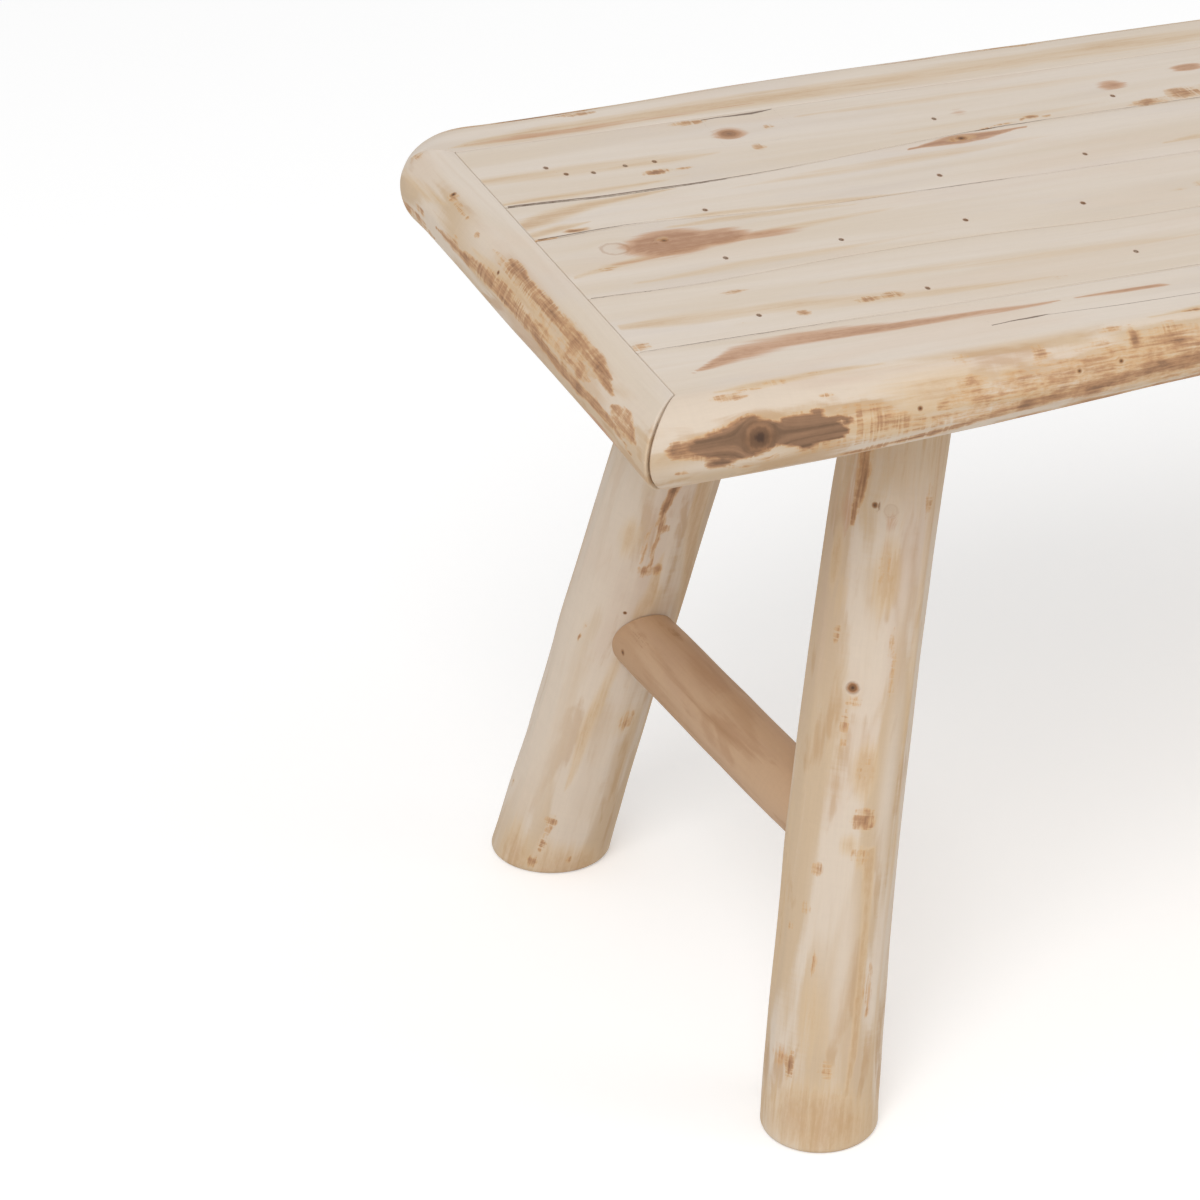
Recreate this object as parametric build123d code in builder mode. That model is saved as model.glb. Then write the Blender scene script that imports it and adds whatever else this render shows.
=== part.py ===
from build123d import *
from math import atan2, cos, degrees, pi, radians
import os

# Rustic log bench, sizes in mm. X runs along the bench, Y from front to back and Z up.
# The origin is on the floor under the middle of the seat.

# Seat: split-log slats inside a frame of half-round log rails
seat_height = 450
slat_length = 1155  # between the end rails
slat_width = 67.5  # pitch of the slats across the seat
slat_depth = 25
slat_wane = 10  # bevel under a slat's long edges
slat_ease = 0.6  # and along the top ones
seam_gap = 0.6

# Natural wander of the seams between the slats, at stations measured from each slat end
seam_stations = (0, 60, 140, 220, 300)
seam_wander = (
    (0, -1.5, 4.5, 5, 0),  # front seam
    (9, 12, 3, 1, 0),  # middle seam
    (-13, -17, -15, -6, 0),  # back seam
)

# Rails: flat on top and inside, half-round outside. A flat is measured up to the half round.
rail_depth = 46
rail_gap = 0.4  # open line of a mitre or butt joint
front_rail_flat = 50  # at its ends
front_rail_waist = 6  # the flat of the front log is this much narrower halfway along
front_rail_arch = 14  # and its underside rises this much
arch_start = 30  # from the end of the slats
arch_run = 380
back_rail_flat = 29  # at its ends
back_rail_belly = 8  # the flat of the back log is this much wider halfway along
belly_start = 6  # from the round corner
belly_run = 190
end_rail_flat = 4  # at the back corner
end_rail_taper = 3.5  # and this much less at the front
back_corner = 25  # radius of the flat's edge round the back corners

# Leg slabs: split planks under the slats that carry the legs and lap under the long rails
slab_setback = 32  # from the end of the slats
slab_width = 235
slab_depth = 30
slab_lap = 22
slab_wane = 14
slab_clip = 8
housing_gap = 0.3

# Cross battens that tie the slats together further in
batten_gap = 5  # from the slab's inner edge
batten_width = 96
batten_depth = 22
batten_wane = 9
batten_short = 5  # clear of each long rail

# Legs: peeled logs, splayed both ways, with a round through tenon at the head
leg_head_y = 75.5  # from the middle of the slats, at the underside of the slab
leg_offset = 3  # the heads stand this much further in than the middle of the slab
leg_stagger = 36  # the front leg stands this much further in than the back leg
leg_splay_x = 75
leg_splay_y = 83
front_foot_radius = 31
front_head_radius = 27.5
front_leg_bow = 6
back_foot_radius = 33.3
back_head_radius = 30
back_leg_bow = 1
foot_bevel = 3
even_stretch = 42  # length of leg round the stretcher that keeps one thickness
leg_tenon_radius = 19
tenon_gap = 0.2  # radial clearance of every round tenon and dowel

# Wedge driven into a kerf across the end of each leg tenon
wedge_length = 24
wedge_thick = 3.2
wedge_thin = 1.2
kerf_gap = 0.15

# Stretcher between the front and back leg of each pair
stretcher_front_z = 150
stretcher_back_z = 163
stretcher_radius = 18.4
stretcher_tenon_radius = 12.5
stretcher_tenon_reach = 12  # past the middle of the leg
cope_gap = 0.3  # between the hollowed shoulder and the leg

# Dowels that hold the end rails
dowel_radius = 4
dowel_in_rail = 26
dowel_in_end = 12
front_dowel_insets = (14, 37)  # from the slats' front edge
mitre_dowel_length = 22

# Cut nails, sunk below the top of the slats. The shank narrows across the bench towards its
# blunt tip.
nail_head_width = 3.6
nail_head_depth = 1.2
nail_shank_width = 2.4
nail_tip_width = 1.4
nail_length = 42
nail_sink = 1.5
nail_gap = 0.1
# Nails of each slat, the front slat first, as shares of half the width of the plank below along
# the bench and of half the slat's width across it
slab_nails = (
    ((-0.66, -0.39), (0.11, -0.36)),
    ((-0.57, -0.30), (-0.03, -0.27), (0.56, -0.24)),
    ((-0.46, -0.50), (0.66, -0.50)),
    ((-0.95, -0.09), (-0.89, -0.44), (-0.77, -0.53), (-0.61, -0.44), (-0.47, -0.44), (0.91, -0.33)),
)
batten_nails = (
    ((-0.85, -0.21),),
    ((-0.81, -0.27),),
    ((-0.19, -0.50),),
    ((0.85, -0.44),),
)

# Countersunk screws, up through the slab ends into the long rails
screw_length = 42
screw_shank_radius = 2.5
screw_head_radius = 5
screw_gap = 0.15

# Places worked out from the sizes
slat_count = len(seam_wander) + 1
field_width = slat_count * slat_width
rail_nose = rail_depth / 2
front_rail_width = front_rail_flat + rail_nose
back_rail_width = back_rail_flat + rail_nose
end_rail_width = end_rail_flat + rail_nose
corner_radius = back_corner + rail_nose
seat_length = slat_length + 2 * end_rail_width
seat_width = front_rail_width + field_width + back_rail_width + back_rail_belly
seat_front = -seat_width / 2
slat_end = slat_length / 2
field_front = seat_front + front_rail_width
field_back = field_front + field_width
field_middle = (field_front + field_back) / 2
bar_height = seat_height - rail_nose
slab_top = seat_height - slat_depth
slab_bottom = slab_top - slab_depth
slab_middle = slab_setback + slab_width / 2 - slat_end
batten_middle = slab_middle + slab_width / 2 + batten_gap + batten_width / 2

# Fasteners on both halves of the bench: screw heads on the slabs and nail heads in the slats
screw_inset = (slab_lap - slab_clip) / 2
screw_places = [
    (side * slab_middle, across, slab_bottom)
    for side in (1, -1)
    for across in (field_front - screw_inset, field_back + screw_inset)
]
nail_places = [
    (
        side * (middle + along * width / 2),
        field_front + (row + 0.5 + across / 2) * slat_width,
        seat_height - nail_sink,
    )
    for side in (1, -1)
    for middle, width, rows in (
        (slab_middle, slab_width, slab_nails),
        (batten_middle, batten_width, batten_nails),
    )
    for row, nails in enumerate(rows)
    for along, across in nails
]

# Fasteners


# Nail with its head at the origin and pointing down. The hole that it leaves is wider by gap
# all round and runs up to the slat's face.
def nail_form(gap, sink):
    with BuildPart() as nail:
        with BuildSketch(Plane.XY.offset(sink)):
            Rectangle(nail_head_width + 2 * gap, nail_head_width + 2 * gap)
        extrude(amount=-sink - nail_head_depth - gap)
        with BuildSketch(Plane.XY.offset(-nail_head_depth)):
            Rectangle(nail_shank_width + 2 * gap, nail_shank_width + 2 * gap)
        with BuildSketch(Plane.XY.offset(-nail_length - gap)):
            Rectangle(nail_shank_width + 2 * gap, nail_tip_width + 2 * gap)
        loft(ruled=True)
    return nail.part


# Countersunk screw with its head at the origin and pointing up, or the bore that it leaves
def screw_form(gap):
    head = screw_head_radius + gap
    shank = screw_shank_radius + gap
    with BuildPart() as screw:
        with BuildSketch(Plane.XZ):
            with BuildLine():
                Polyline(
                    (0, 0),
                    (head, 0),
                    (shank, head - shank),
                    (shank, screw_length + gap),
                    (0, screw_length + gap),
                    close=True,
                )
            make_face()
        revolve(axis=Axis.Z)
    return screw.part


with BuildPart() as slat_nails:
    with Locations(*nail_places):
        add(nail_form(0, 0))
slat_nails.part.label = "slat_nails"

with BuildPart() as nail_holes:
    with Locations(*nail_places):
        add(nail_form(nail_gap, nail_sink))

with BuildPart() as rail_screws:
    with Locations(*screw_places):
        add(screw_form(0))
rail_screws.part.label = "rail_screws"

with BuildPart() as screw_bores:
    with Locations(*screw_places):
        add(screw_form(screw_gap))

# Rails


# Cross-section of a rail, flat on top and inside and half-round outside. The plane's x
# direction points away from the seat and its y direction points up.
def rail_section(plane, flat, depth):
    bottom = seat_height - depth
    nose = (flat + depth / 2, seat_height - depth / 2)
    with BuildSketch(plane) as section:
        with BuildLine():
            Polyline((flat, bottom), (0, bottom), (0, seat_height), (flat, seat_height))
            ThreePointArc((flat, seat_height), nose, (flat, bottom))
        make_face()
    return section.sketch


# Half of a long rail is a straight end, a smooth run and a straight middle. side is -1 for the
# front rail and 1 for the back rail, and x is given for the left half.
def long_rail(side, inner_y, end_x, start_x, run, end_flat, end_depth, flat_change, depth_change):
    steps = 4
    sections = []
    for step in range(steps + 1):
        origin = (start_x + run * step / steps, inner_y, 0)
        plane = Plane(origin=origin, x_dir=(0, side, 0), z_dir=(side, 0, 0))
        share = (1 - cos(pi * step / steps)) / 2
        sections.append(rail_section(plane, end_flat + share * flat_change, end_depth + share * depth_change))
    with BuildPart() as rail:
        loft(sections, ruled=True)
        extrude(sections[0], amount=side * (end_x - start_x))
        extrude(sections[-1], amount=side * -(start_x + run))
        mirror(about=Plane.YZ)
    return rail.part


# Space under a long rail that a slab end laps into
def slab_housing(side, inner_y):
    lap = slab_lap + housing_gap
    with BuildPart() as housing:
        with BuildSketch(Plane.XY.offset(slab_top)):
            with Locations((slab_middle, inner_y + side * lap / 2)):
                Rectangle(slab_width + 2 * housing_gap, lap)
        extrude(amount=-slab_depth)
    return housing.part


# Round bars along the dowels of the left corners: two across the butt joint at the front and
# one across the mitre at the back
def corner_bars(gap):
    mitre_middle = (-slat_end - end_rail_width / 2, field_back + end_rail_width / 2, bar_height)
    with BuildPart() as bars:
        for inset in front_dowel_insets:
            start = (-slat_end - dowel_in_end - gap, field_front - inset, bar_height)
            with BuildSketch(Plane(origin=start, z_dir=(1, 0, 0))):
                Circle(dowel_radius + gap)
        extrude(amount=dowel_in_end + dowel_in_rail + 2 * gap)
        with BuildSketch(Plane(origin=mitre_middle, z_dir=(1, 1, 0))):
            Circle(dowel_radius + gap)
        extrude(amount=mitre_dowel_length / 2 + gap, both=True)
    return bars.part


# Space of the left end rail, moved along by shift: a butt line along the slats' ends, a full
# mitre at the back corner and a mitre across the half round alone at the front corner
def end_rail_space(shift):
    reach = 2 * end_rail_width
    inner = shift - slat_end
    round_edge = inner - end_rail_flat + end_rail_taper
    with BuildPart() as space:
        with BuildSketch(Plane.XY):
            with BuildLine():
                Polyline(
                    (inner, field_back),
                    (inner - reach, field_back + reach),
                    (round_edge - reach, field_front - front_rail_flat - reach),
                    (round_edge, field_front - front_rail_flat),
                    (inner, field_front - front_rail_flat),
                    close=True,
                )
            make_face()
        extrude(amount=seat_height)
    return space.part


# Left back corner, round in outline: the half round turned from the line of the back rail to
# the slightly slanting line of the end rail
corner_x = corner_radius - seat_length / 2
corner_y = field_back + back_rail_width - corner_radius
end_rail_run = corner_y - seat_front
end_slant = degrees(atan2(end_rail_taper, end_rail_run))
corner_plane = Plane(
    origin=(corner_x, corner_y, 0),
    x_dir=(-end_rail_run, -end_rail_taper, 0),
    z_dir=(-end_rail_taper, end_rail_run, 0),
)
corner_axis = Axis((corner_x, corner_y, 0), (0, 0, -1))
corner_section = rail_section(corner_plane, back_corner, rail_depth)

# The same corner for the back rail, filled in down to the slats' edge
with BuildPart() as back_corner_form:
    revolve(corner_section, axis=corner_axis, revolution_arc=90 + end_slant)
    extrude(corner_section, amount=field_back - back_corner - corner_y)
    split(bisect_by=Plane.XZ.offset(-field_back), keep=Keep.BOTTOM)

# Everything that the end rail, the dowels, the slab and the screws take out of the left half
# of a long rail
rail_cuts = [end_rail_space(rail_gap), corner_bars(tenon_gap), screw_bores.part]

with BuildPart() as left_end_rail:
    revolve(corner_section, axis=corner_axis, revolution_arc=90 + end_slant)
    extrude(corner_section, amount=-end_rail_run - corner_radius)
    add(end_rail_space(0), mode=Mode.INTERSECT)
    add(corner_bars(tenon_gap), mode=Mode.SUBTRACT)
left_end_rail.part.label = "left_end_rail"

with BuildPart() as right_end_rail:
    mirror(left_end_rail.part, about=Plane.YZ)
right_end_rail.part.label = "right_end_rail"

with BuildPart() as front_rail:
    arch = (front_rail_flat, rail_depth, -front_rail_waist, -front_rail_arch)
    add(long_rail(-1, field_front, -seat_length / 2, arch_start - slat_end, arch_run, *arch))
    for cut in rail_cuts + [slab_housing(-1, field_front)]:
        add(cut, mode=Mode.SUBTRACT)
        add(mirror(cut, about=Plane.YZ, mode=Mode.PRIVATE), mode=Mode.SUBTRACT)
front_rail.part.label = "front_rail"

with BuildPart() as back_rail:
    belly = (back_rail_flat, rail_depth, back_rail_belly, 0)
    add(long_rail(1, field_back, corner_x, corner_x + belly_start, belly_run, *belly))
    add(back_corner_form.part)
    mirror(back_corner_form.part, about=Plane.YZ)
    for cut in rail_cuts + [slab_housing(1, field_back)]:
        add(cut, mode=Mode.SUBTRACT)
        add(mirror(cut, about=Plane.YZ, mode=Mode.PRIVATE), mode=Mode.SUBTRACT)
back_rail.part.label = "back_rail"

with BuildPart() as corner_dowels:
    add(corner_bars(0))
    mirror(about=Plane.YZ)
corner_dowels.part.label = "corner_dowels"

# Slats


# Left half of a seam between two slats, or of the straight edge beside a long rail. row counts
# the seams from the front.
def seam_points(row, gap):
    straight = field_front + row * slat_width + gap
    wander = seam_wander[row - 1] if 0 < row < slat_count else [0] * len(seam_stations)
    return [(station - slat_end, straight + shift) for station, shift in zip(seam_stations, wander)]


# Slat between two seams, flat on top and bevelled below, with its nail holes
def make_slat(row):
    front = seam_points(row, seam_gap / 2)
    back = seam_points(row + 1, -seam_gap / 2)
    along = ((1, 0), (1, 0))
    with BuildPart() as slat:
        with BuildSketch(Plane.XY.offset(seat_height)):
            with BuildLine():
                for seam in (front, back):
                    other_half = [(-x, y) for x, y in reversed(seam)]
                    Spline(*seam, tangents=along)
                    Line(seam[-1], other_half[0])
                    Spline(*other_half, tangents=along)
                Line(front[0], back[0])
                Line((-front[0][0], front[0][1]), (-back[0][0], back[0][1]))
            make_face()
        extrude(amount=-slat_depth)
        long_edges = slat.edges().filter_by(Axis.Y, reverse=True).filter_by(Axis.Z, reverse=True)
        chamfer(long_edges.group_by(Axis.Z)[0], length=slat_wane)
        chamfer(long_edges.group_by(Axis.Z)[-1], length=slat_ease)
        add(nail_holes.part, mode=Mode.SUBTRACT)
    slat.part.label = f"slat_{row + 1}"
    return slat


slats = [make_slat(row) for row in range(slat_count)]

# Slabs and battens


# Plank across the bench with its flat side up under the slats and waney lower edges
def cross_plank(middle, width, depth, wane, front, back):
    with BuildPart() as plank:
        with BuildSketch(Plane.XZ.offset(-back)):
            with Locations((middle, slab_top - depth / 2)):
                Rectangle(width, depth)
        extrude(amount=back - front)
        fillet(plank.edges().filter_by(Axis.Y).group_by(Axis.Z)[0], radius=wane)
    return plank.part


# Foot on the floor and head under the slab of a left leg
def leg_ends(side, stagger):
    head = Vector(slab_middle + leg_offset + stagger, field_middle + side * leg_head_y, slab_bottom)
    foot = head + Vector(-leg_splay_x, side * leg_splay_y, -slab_bottom)
    return foot, head


# Round bar along a leg's tenon, from inside the leg to above the slab
def tenon_bar(foot, head, radius):
    axis = (head - foot).normalized()
    with BuildPart() as bar:
        with BuildSketch(Plane(origin=head - axis * slab_depth, z_dir=axis)):
            Circle(radius)
        extrude(amount=3 * slab_depth)
    return bar.part


front_foot, front_head = leg_ends(-1, leg_stagger / 2)
back_foot, back_head = leg_ends(1, -leg_stagger / 2)

with BuildPart() as left_leg_slab:
    slab_ends = (field_front - slab_lap, field_back + slab_lap)
    add(cross_plank(slab_middle, slab_width, slab_depth, slab_wane, *slab_ends))
    chamfer(left_leg_slab.edges().filter_by(Axis.X).group_by(Axis.Z)[0], length=slab_clip)
    for foot, head in ((front_foot, front_head), (back_foot, back_head)):
        add(tenon_bar(foot, head, leg_tenon_radius + tenon_gap), mode=Mode.SUBTRACT)
    add(nail_holes.part, mode=Mode.SUBTRACT)
    add(screw_bores.part, mode=Mode.SUBTRACT)
left_leg_slab.part.label = "left_leg_slab"

with BuildPart() as right_leg_slab:
    mirror(left_leg_slab.part, about=Plane.YZ)
right_leg_slab.part.label = "right_leg_slab"

with BuildPart() as left_batten:
    batten_ends = (field_front + batten_short, field_back - batten_short)
    add(cross_plank(batten_middle, batten_width, batten_depth, batten_wane, *batten_ends))
    add(nail_holes.part, mode=Mode.SUBTRACT)
left_batten.part.label = "left_batten"

with BuildPart() as right_batten:
    mirror(left_batten.part, about=Plane.YZ)
right_batten.part.label = "right_batten"

# Legs and stretchers


# Point on a leg's centre line at a height. bow is how far the middle of the log stands out
# towards the end of the bench.
def leg_centre(foot, head, bow, height):
    share = height / slab_bottom
    return foot + (head - foot) * share - Vector(4 * bow * share * (1 - share), 0, 0)


# Level cross-section of a leg, an ellipse because the leg leans along way
def leg_section(centre, radius, way):
    lean = way.get_angle(Vector(0, 0, 1))
    heading = degrees(atan2(way.Y, way.X))
    with BuildSketch(Plane.XY.offset(centre.Z)) as section:
        with Locations((centre.X, centre.Y)):
            Ellipse(radius / cos(radians(lean)), radius, rotation=heading)
    return section.sketch


# Round bar along the stretcher, from inside the leg at end to the stretcher's middle
def stretcher_bar(end, middle, gap):
    way = (end - middle).normalized()
    with BuildPart() as bar:
        with BuildSketch(Plane(origin=end + way * (stretcher_tenon_reach + gap), z_dir=-way)):
            Circle(stretcher_tenon_radius + gap)
        extrude(amount=(end - middle).length)
    return bar.part


# Taper across the end of a leg tenon that the wedge fills, wide along the bench
def kerf_form(foot, head, gap):
    top = head + (head - foot) * (slab_depth / head.Z)
    with BuildPart() as kerf:
        with BuildSketch(Plane(origin=top, x_dir=(0, 1, 0), z_dir=(1, 0, 0))):
            with BuildLine():
                Polyline(
                    (-wedge_thick / 2 - gap, 0),
                    (wedge_thick / 2 + gap, 0),
                    (wedge_thin / 2 + gap, -wedge_length - gap),
                    (-wedge_thin / 2 - gap, -wedge_length - gap),
                    close=True,
                )
            make_face()
        extrude(amount=2 * leg_tenon_radius, both=True)
    return kerf.part


# Even stretch of leg that the stretcher enters: its lower and upper end and its radius
def leg_grip(foot, head, foot_radius, head_radius, bow, stretcher_z):
    low = leg_centre(foot, head, bow, stretcher_z - even_stretch / 2)
    high = leg_centre(foot, head, bow, stretcher_z + even_stretch / 2)
    radius = foot_radius + (head_radius - foot_radius) * stretcher_z / slab_bottom
    return low, high, radius


# Round bar along the even stretch and past both its ends
def grip_bar(low, high, radius):
    with BuildPart() as bar:
        with BuildSketch(Plane(origin=(low + high) / 2, z_dir=high - low)):
            Circle(radius)
        extrude(amount=even_stretch, both=True)
    return bar.part


# Leg from the floor to the top of its slab, tapering below and above the even stretch
def make_leg(label, foot, head, foot_radius, head_radius, bow, stretcher_z):
    low, high, radius = leg_grip(foot, head, foot_radius, head_radius, bow, stretcher_z)
    waist = leg_centre(foot, head, bow, (high.Z + slab_bottom) / 2)
    ankle = leg_centre(foot, head, bow, foot_bevel)
    run = high - low
    with BuildPart() as leg:
        add(grip_bar(low, high, radius))
        split(bisect_by=Plane.XY.offset(low.Z), keep=Keep.TOP)
        split(bisect_by=Plane.XY.offset(high.Z), keep=Keep.BOTTOM)
        lower_sections = [
            leg_section(foot, foot_radius - foot_bevel, run),
            leg_section(ankle, foot_radius, run),
            leg_section(low, radius, run),
        ]
        loft(lower_sections, ruled=True)
        upper_sections = [
            leg_section(high, radius, run),
            leg_section(waist, (radius + head_radius) / 2, run),
            leg_section(head, head_radius, run),
        ]
        loft(upper_sections, ruled=True)
        add(tenon_bar(foot, head, leg_tenon_radius))
        split(bisect_by=Plane.XY.offset(slab_top), keep=Keep.BOTTOM)
        end = leg_centre(foot, head, bow, stretcher_z)
        add(stretcher_bar(end, stretcher_middle, tenon_gap), mode=Mode.SUBTRACT)
        add(kerf_form(foot, head, kerf_gap), mode=Mode.SUBTRACT)
    leg.part.label = label
    return leg


front_log = (front_foot_radius, front_head_radius, front_leg_bow)
back_log = (back_foot_radius, back_head_radius, back_leg_bow)
front_leg_sizes = (front_foot, front_head, *front_log, stretcher_front_z)
back_leg_sizes = (back_foot, back_head, *back_log, stretcher_back_z)
stretcher_front = leg_centre(front_foot, front_head, front_leg_bow, stretcher_front_z)
stretcher_back = leg_centre(back_foot, back_head, back_leg_bow, stretcher_back_z)
stretcher_middle = (stretcher_front + stretcher_back) / 2

left_front_leg = make_leg("left_front_leg", *front_leg_sizes)
left_back_leg = make_leg("left_back_leg", *back_leg_sizes)

with BuildPart() as right_front_leg:
    mirror(left_front_leg.part, about=Plane.YZ)
right_front_leg.part.label = "right_front_leg"

with BuildPart() as right_back_leg:
    mirror(left_back_leg.part, about=Plane.YZ)
right_back_leg.part.label = "right_back_leg"

# The stretcher's ends are hollowed to the legs before it gets its tenons
with BuildPart() as left_stretcher:
    stretcher_run = stretcher_back - stretcher_front
    with BuildSketch(Plane(origin=stretcher_front, z_dir=stretcher_run)):
        Circle(stretcher_radius)
    extrude(amount=stretcher_run.length)
    for leg_sizes in (front_leg_sizes, back_leg_sizes):
        low, high, radius = leg_grip(*leg_sizes)
        add(grip_bar(low, high, radius + cope_gap), mode=Mode.SUBTRACT)
    for end in (stretcher_front, stretcher_back):
        add(stretcher_bar(end, stretcher_middle, 0))
left_stretcher.part.label = "left_stretcher"

with BuildPart() as right_stretcher:
    mirror(left_stretcher.part, about=Plane.YZ)
right_stretcher.part.label = "right_stretcher"

with BuildPart() as leg_wedges:
    for foot, head in ((front_foot, front_head), (back_foot, back_head)):
        add(kerf_form(foot, head, 0) & tenon_bar(foot, head, leg_tenon_radius))
    mirror(about=Plane.YZ)
leg_wedges.part.label = "leg_wedges"

# One STEP file for each piece
pieces = [
    front_rail,
    back_rail,
    left_end_rail,
    right_end_rail,
    corner_dowels,
    *slats,
    left_leg_slab,
    right_leg_slab,
    left_batten,
    right_batten,
    left_front_leg,
    left_back_leg,
    right_front_leg,
    right_back_leg,
    left_stretcher,
    right_stretcher,
    leg_wedges,
    slat_nails,
    rail_screws,
]
os.makedirs("parts", exist_ok=True)
for piece in pieces:
    export_step(piece.part, f"parts/{piece.part.label}.step")
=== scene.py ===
import math

import bmesh
import bpy
import numpy as np
from mathutils import Matrix, Vector


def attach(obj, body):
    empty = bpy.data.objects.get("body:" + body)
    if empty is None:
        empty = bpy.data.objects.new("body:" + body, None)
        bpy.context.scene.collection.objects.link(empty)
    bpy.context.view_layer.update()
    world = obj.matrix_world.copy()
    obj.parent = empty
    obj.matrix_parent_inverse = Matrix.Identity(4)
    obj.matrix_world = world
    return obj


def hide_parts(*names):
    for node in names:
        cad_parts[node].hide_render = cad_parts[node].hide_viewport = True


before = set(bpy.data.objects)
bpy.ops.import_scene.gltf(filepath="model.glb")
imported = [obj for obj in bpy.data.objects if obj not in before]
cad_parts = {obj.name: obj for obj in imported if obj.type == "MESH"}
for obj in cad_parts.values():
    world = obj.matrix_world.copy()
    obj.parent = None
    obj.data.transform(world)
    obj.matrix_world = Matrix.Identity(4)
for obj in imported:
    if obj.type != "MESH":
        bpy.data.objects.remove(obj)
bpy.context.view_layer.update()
print("bench frame loaded,", len(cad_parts), "nodes")

# The bench runs along X. Lengths here are in mm unless a note says otherwise
bench = {
    "seatTop": 450.0,
    "slatEnd": 577.5,  # the slats end here, left and right
    "fieldFront": -128.5,  # front edge of the slats
    "fieldBack": 141.5,
    "slatPitch": 67.5,
    "slatDepth": 25.0,
    "railNose": 23.0,  # radius of the rails' round side
    "slabTop": 425.0,
    "slabMiddle": 428.0,  # from the middle of the bench
    "slabWidth": 235.0,
    "slabLap": 22.0,  # how far the slabs reach under the long rails
    "slabGap": 0.3,
}
endSteps = (0, 0.12, 0.3, 0.6, 1.0, 1.6, 2.6)  # mm from an end, close together where its edge is eased
sharpEdge = math.radians(35)  # edges that turn more than this stay sharp


# Numbers


def smooth(value, low, high):
    share = np.clip((value - low) / (high - low), 0, 1)
    return share * share * (3 - 2 * share)


# 1 at the end of a piece, 0 at reach inside it
def nearEnd(distance, end, reach):
    return np.clip((distance - (end - reach)) / reach, 0, 1)


# Smooth random field from about -1 to 1. size is how far it takes to change, one number an axis
def drift(points, size, seed):
    table = np.random.default_rng(seed).uniform(-1, 1, 4096)
    cells = points / np.asarray(size, float)
    corner = np.floor(cells).astype(np.int64)
    part = cells - corner
    part = part * part * (3 - 2 * part)
    total = np.zeros(len(points))
    for step in np.ndindex(2, 2, 2):
        scrambled = (corner + step) * (73856093, 19349663, 83492791)
        key = scrambled[:, 0] ^ scrambled[:, 1] ^ scrambled[:, 2]
        total += table[key & 4095] * np.abs(1 - np.array(step) - part).prod(axis=1)
    return total


# Values at places between stations, joined smoothly with level ends
def smoothLine(places, stations, values):
    stations, values = np.asarray(stations, float), np.asarray(values, float)
    slopes = np.zeros(len(values))
    slopes[1:-1] = (values[2:] - values[:-2]) / (stations[2:] - stations[:-2])
    index = np.clip(np.searchsorted(stations, places) - 1, 0, len(stations) - 2)
    width = stations[index + 1] - stations[index]
    t = np.clip((places - stations[index]) / width, 0, 1)
    start, end = values[index], values[index + 1]
    return (
        start * (2 * t**3 - 3 * t**2 + 1)
        + end * (3 * t**2 - 2 * t**3)
        + slopes[index] * width * (t**3 - 2 * t**2 + t)
        + slopes[index + 1] * width * (t**3 - t**2)
    )


# Distances along a piece
def stationsAlong(length, step, ends=endSteps):
    ends = np.asarray(ends)
    count = max(3, round((length - 2 * ends[-1]) / step))
    middle = np.linspace(ends[-1], length - ends[-1], count)
    return np.concatenate([ends[:-1], middle, length - ends[-2::-1]])


# How far the skin is pressed in near an end to round its arris
def endRounding(distance, radius):
    inside = np.clip(1 - distance / radius, 0, 1)
    return radius * (1 - np.sqrt(1 - inside**2))


# Flats that the drawknife leaves round a log, in mm pressed in. angle runs round it from -pi to pi
def knifeFlats(angle, along, radius, count, seed):
    pick = np.random.default_rng(seed)
    line = np.stack([along, 0 * along, 0 * along], axis=1)
    total = np.zeros(len(angle))
    share = smooth(drift(line, (140, 1, 1), seed + 2), -0.35, 0.35)
    for weight in (share, 1 - share):
        uneven = np.append(pick.uniform(-0.28, 0.28, count), 0)
        edges = (np.arange(count + 1) + uneven) * 2 * np.pi / count
        edges[-1] = edges[0] + 2 * np.pi
        turned = (angle + 0.1 * drift(line, (170, 1, 1), seed + 4) - edges[0]) % (2 * np.pi) + edges[0]
        index = np.clip(np.searchsorted(edges, turned, side="right") - 1, 0, count - 1)
        half, middle = (edges[index + 1] - edges[index]) / 2, (edges[index + 1] + edges[index]) / 2
        total += weight * radius * (1 - np.cos(half) / np.cos(turned - middle))
    return total


# Meshes


# Outward direction of each point of a grid of closed loops
def gridNormals(grid):
    around = np.roll(grid, -1, axis=1) - np.roll(grid, 1, axis=1)
    along = np.gradient(grid, axis=0)
    normals = np.cross(around, along)
    normals /= np.maximum(np.linalg.norm(normals, axis=2, keepdims=True), 1e-9)
    outward = grid - grid.mean(axis=1, keepdims=True)
    if (normals * outward).sum() < 0:
        normals = -normals
    return normals


def addObject(name, contents):
    thing = bpy.data.objects.new(name, contents)
    bpy.context.scene.collection.objects.link(thing)
    return thing


# Closed mesh from loops of points in mm, one loop a row, with a fan over each end
def meshFromLoops(name, grid):
    rows, count = grid.shape[:2]
    middles = [grid[0].mean(axis=0), grid[-1].mean(axis=0)]
    points = np.concatenate([grid.reshape(-1, 3), middles]) / 1000
    index = np.arange(rows * count).reshape(rows, count)
    after = np.roll(index, -1, axis=1)
    quads = np.stack([index[:-1], after[:-1], after[1:], index[1:]], axis=-1).reshape(-1, 4)
    first = [(rows * count, after[0][i], index[0][i]) for i in range(count)]
    last = [(rows * count + 1, index[-1][i], after[-1][i]) for i in range(count)]
    mesh = bpy.data.meshes.new(name)
    mesh.from_pydata(points.tolist(), [], quads.tolist() + first + last)
    shape = bmesh.new()
    shape.from_mesh(mesh)
    bmesh.ops.recalc_face_normals(shape, faces=shape.faces)
    shape.to_mesh(mesh)
    shape.free()
    return addObject(name, mesh)


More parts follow.
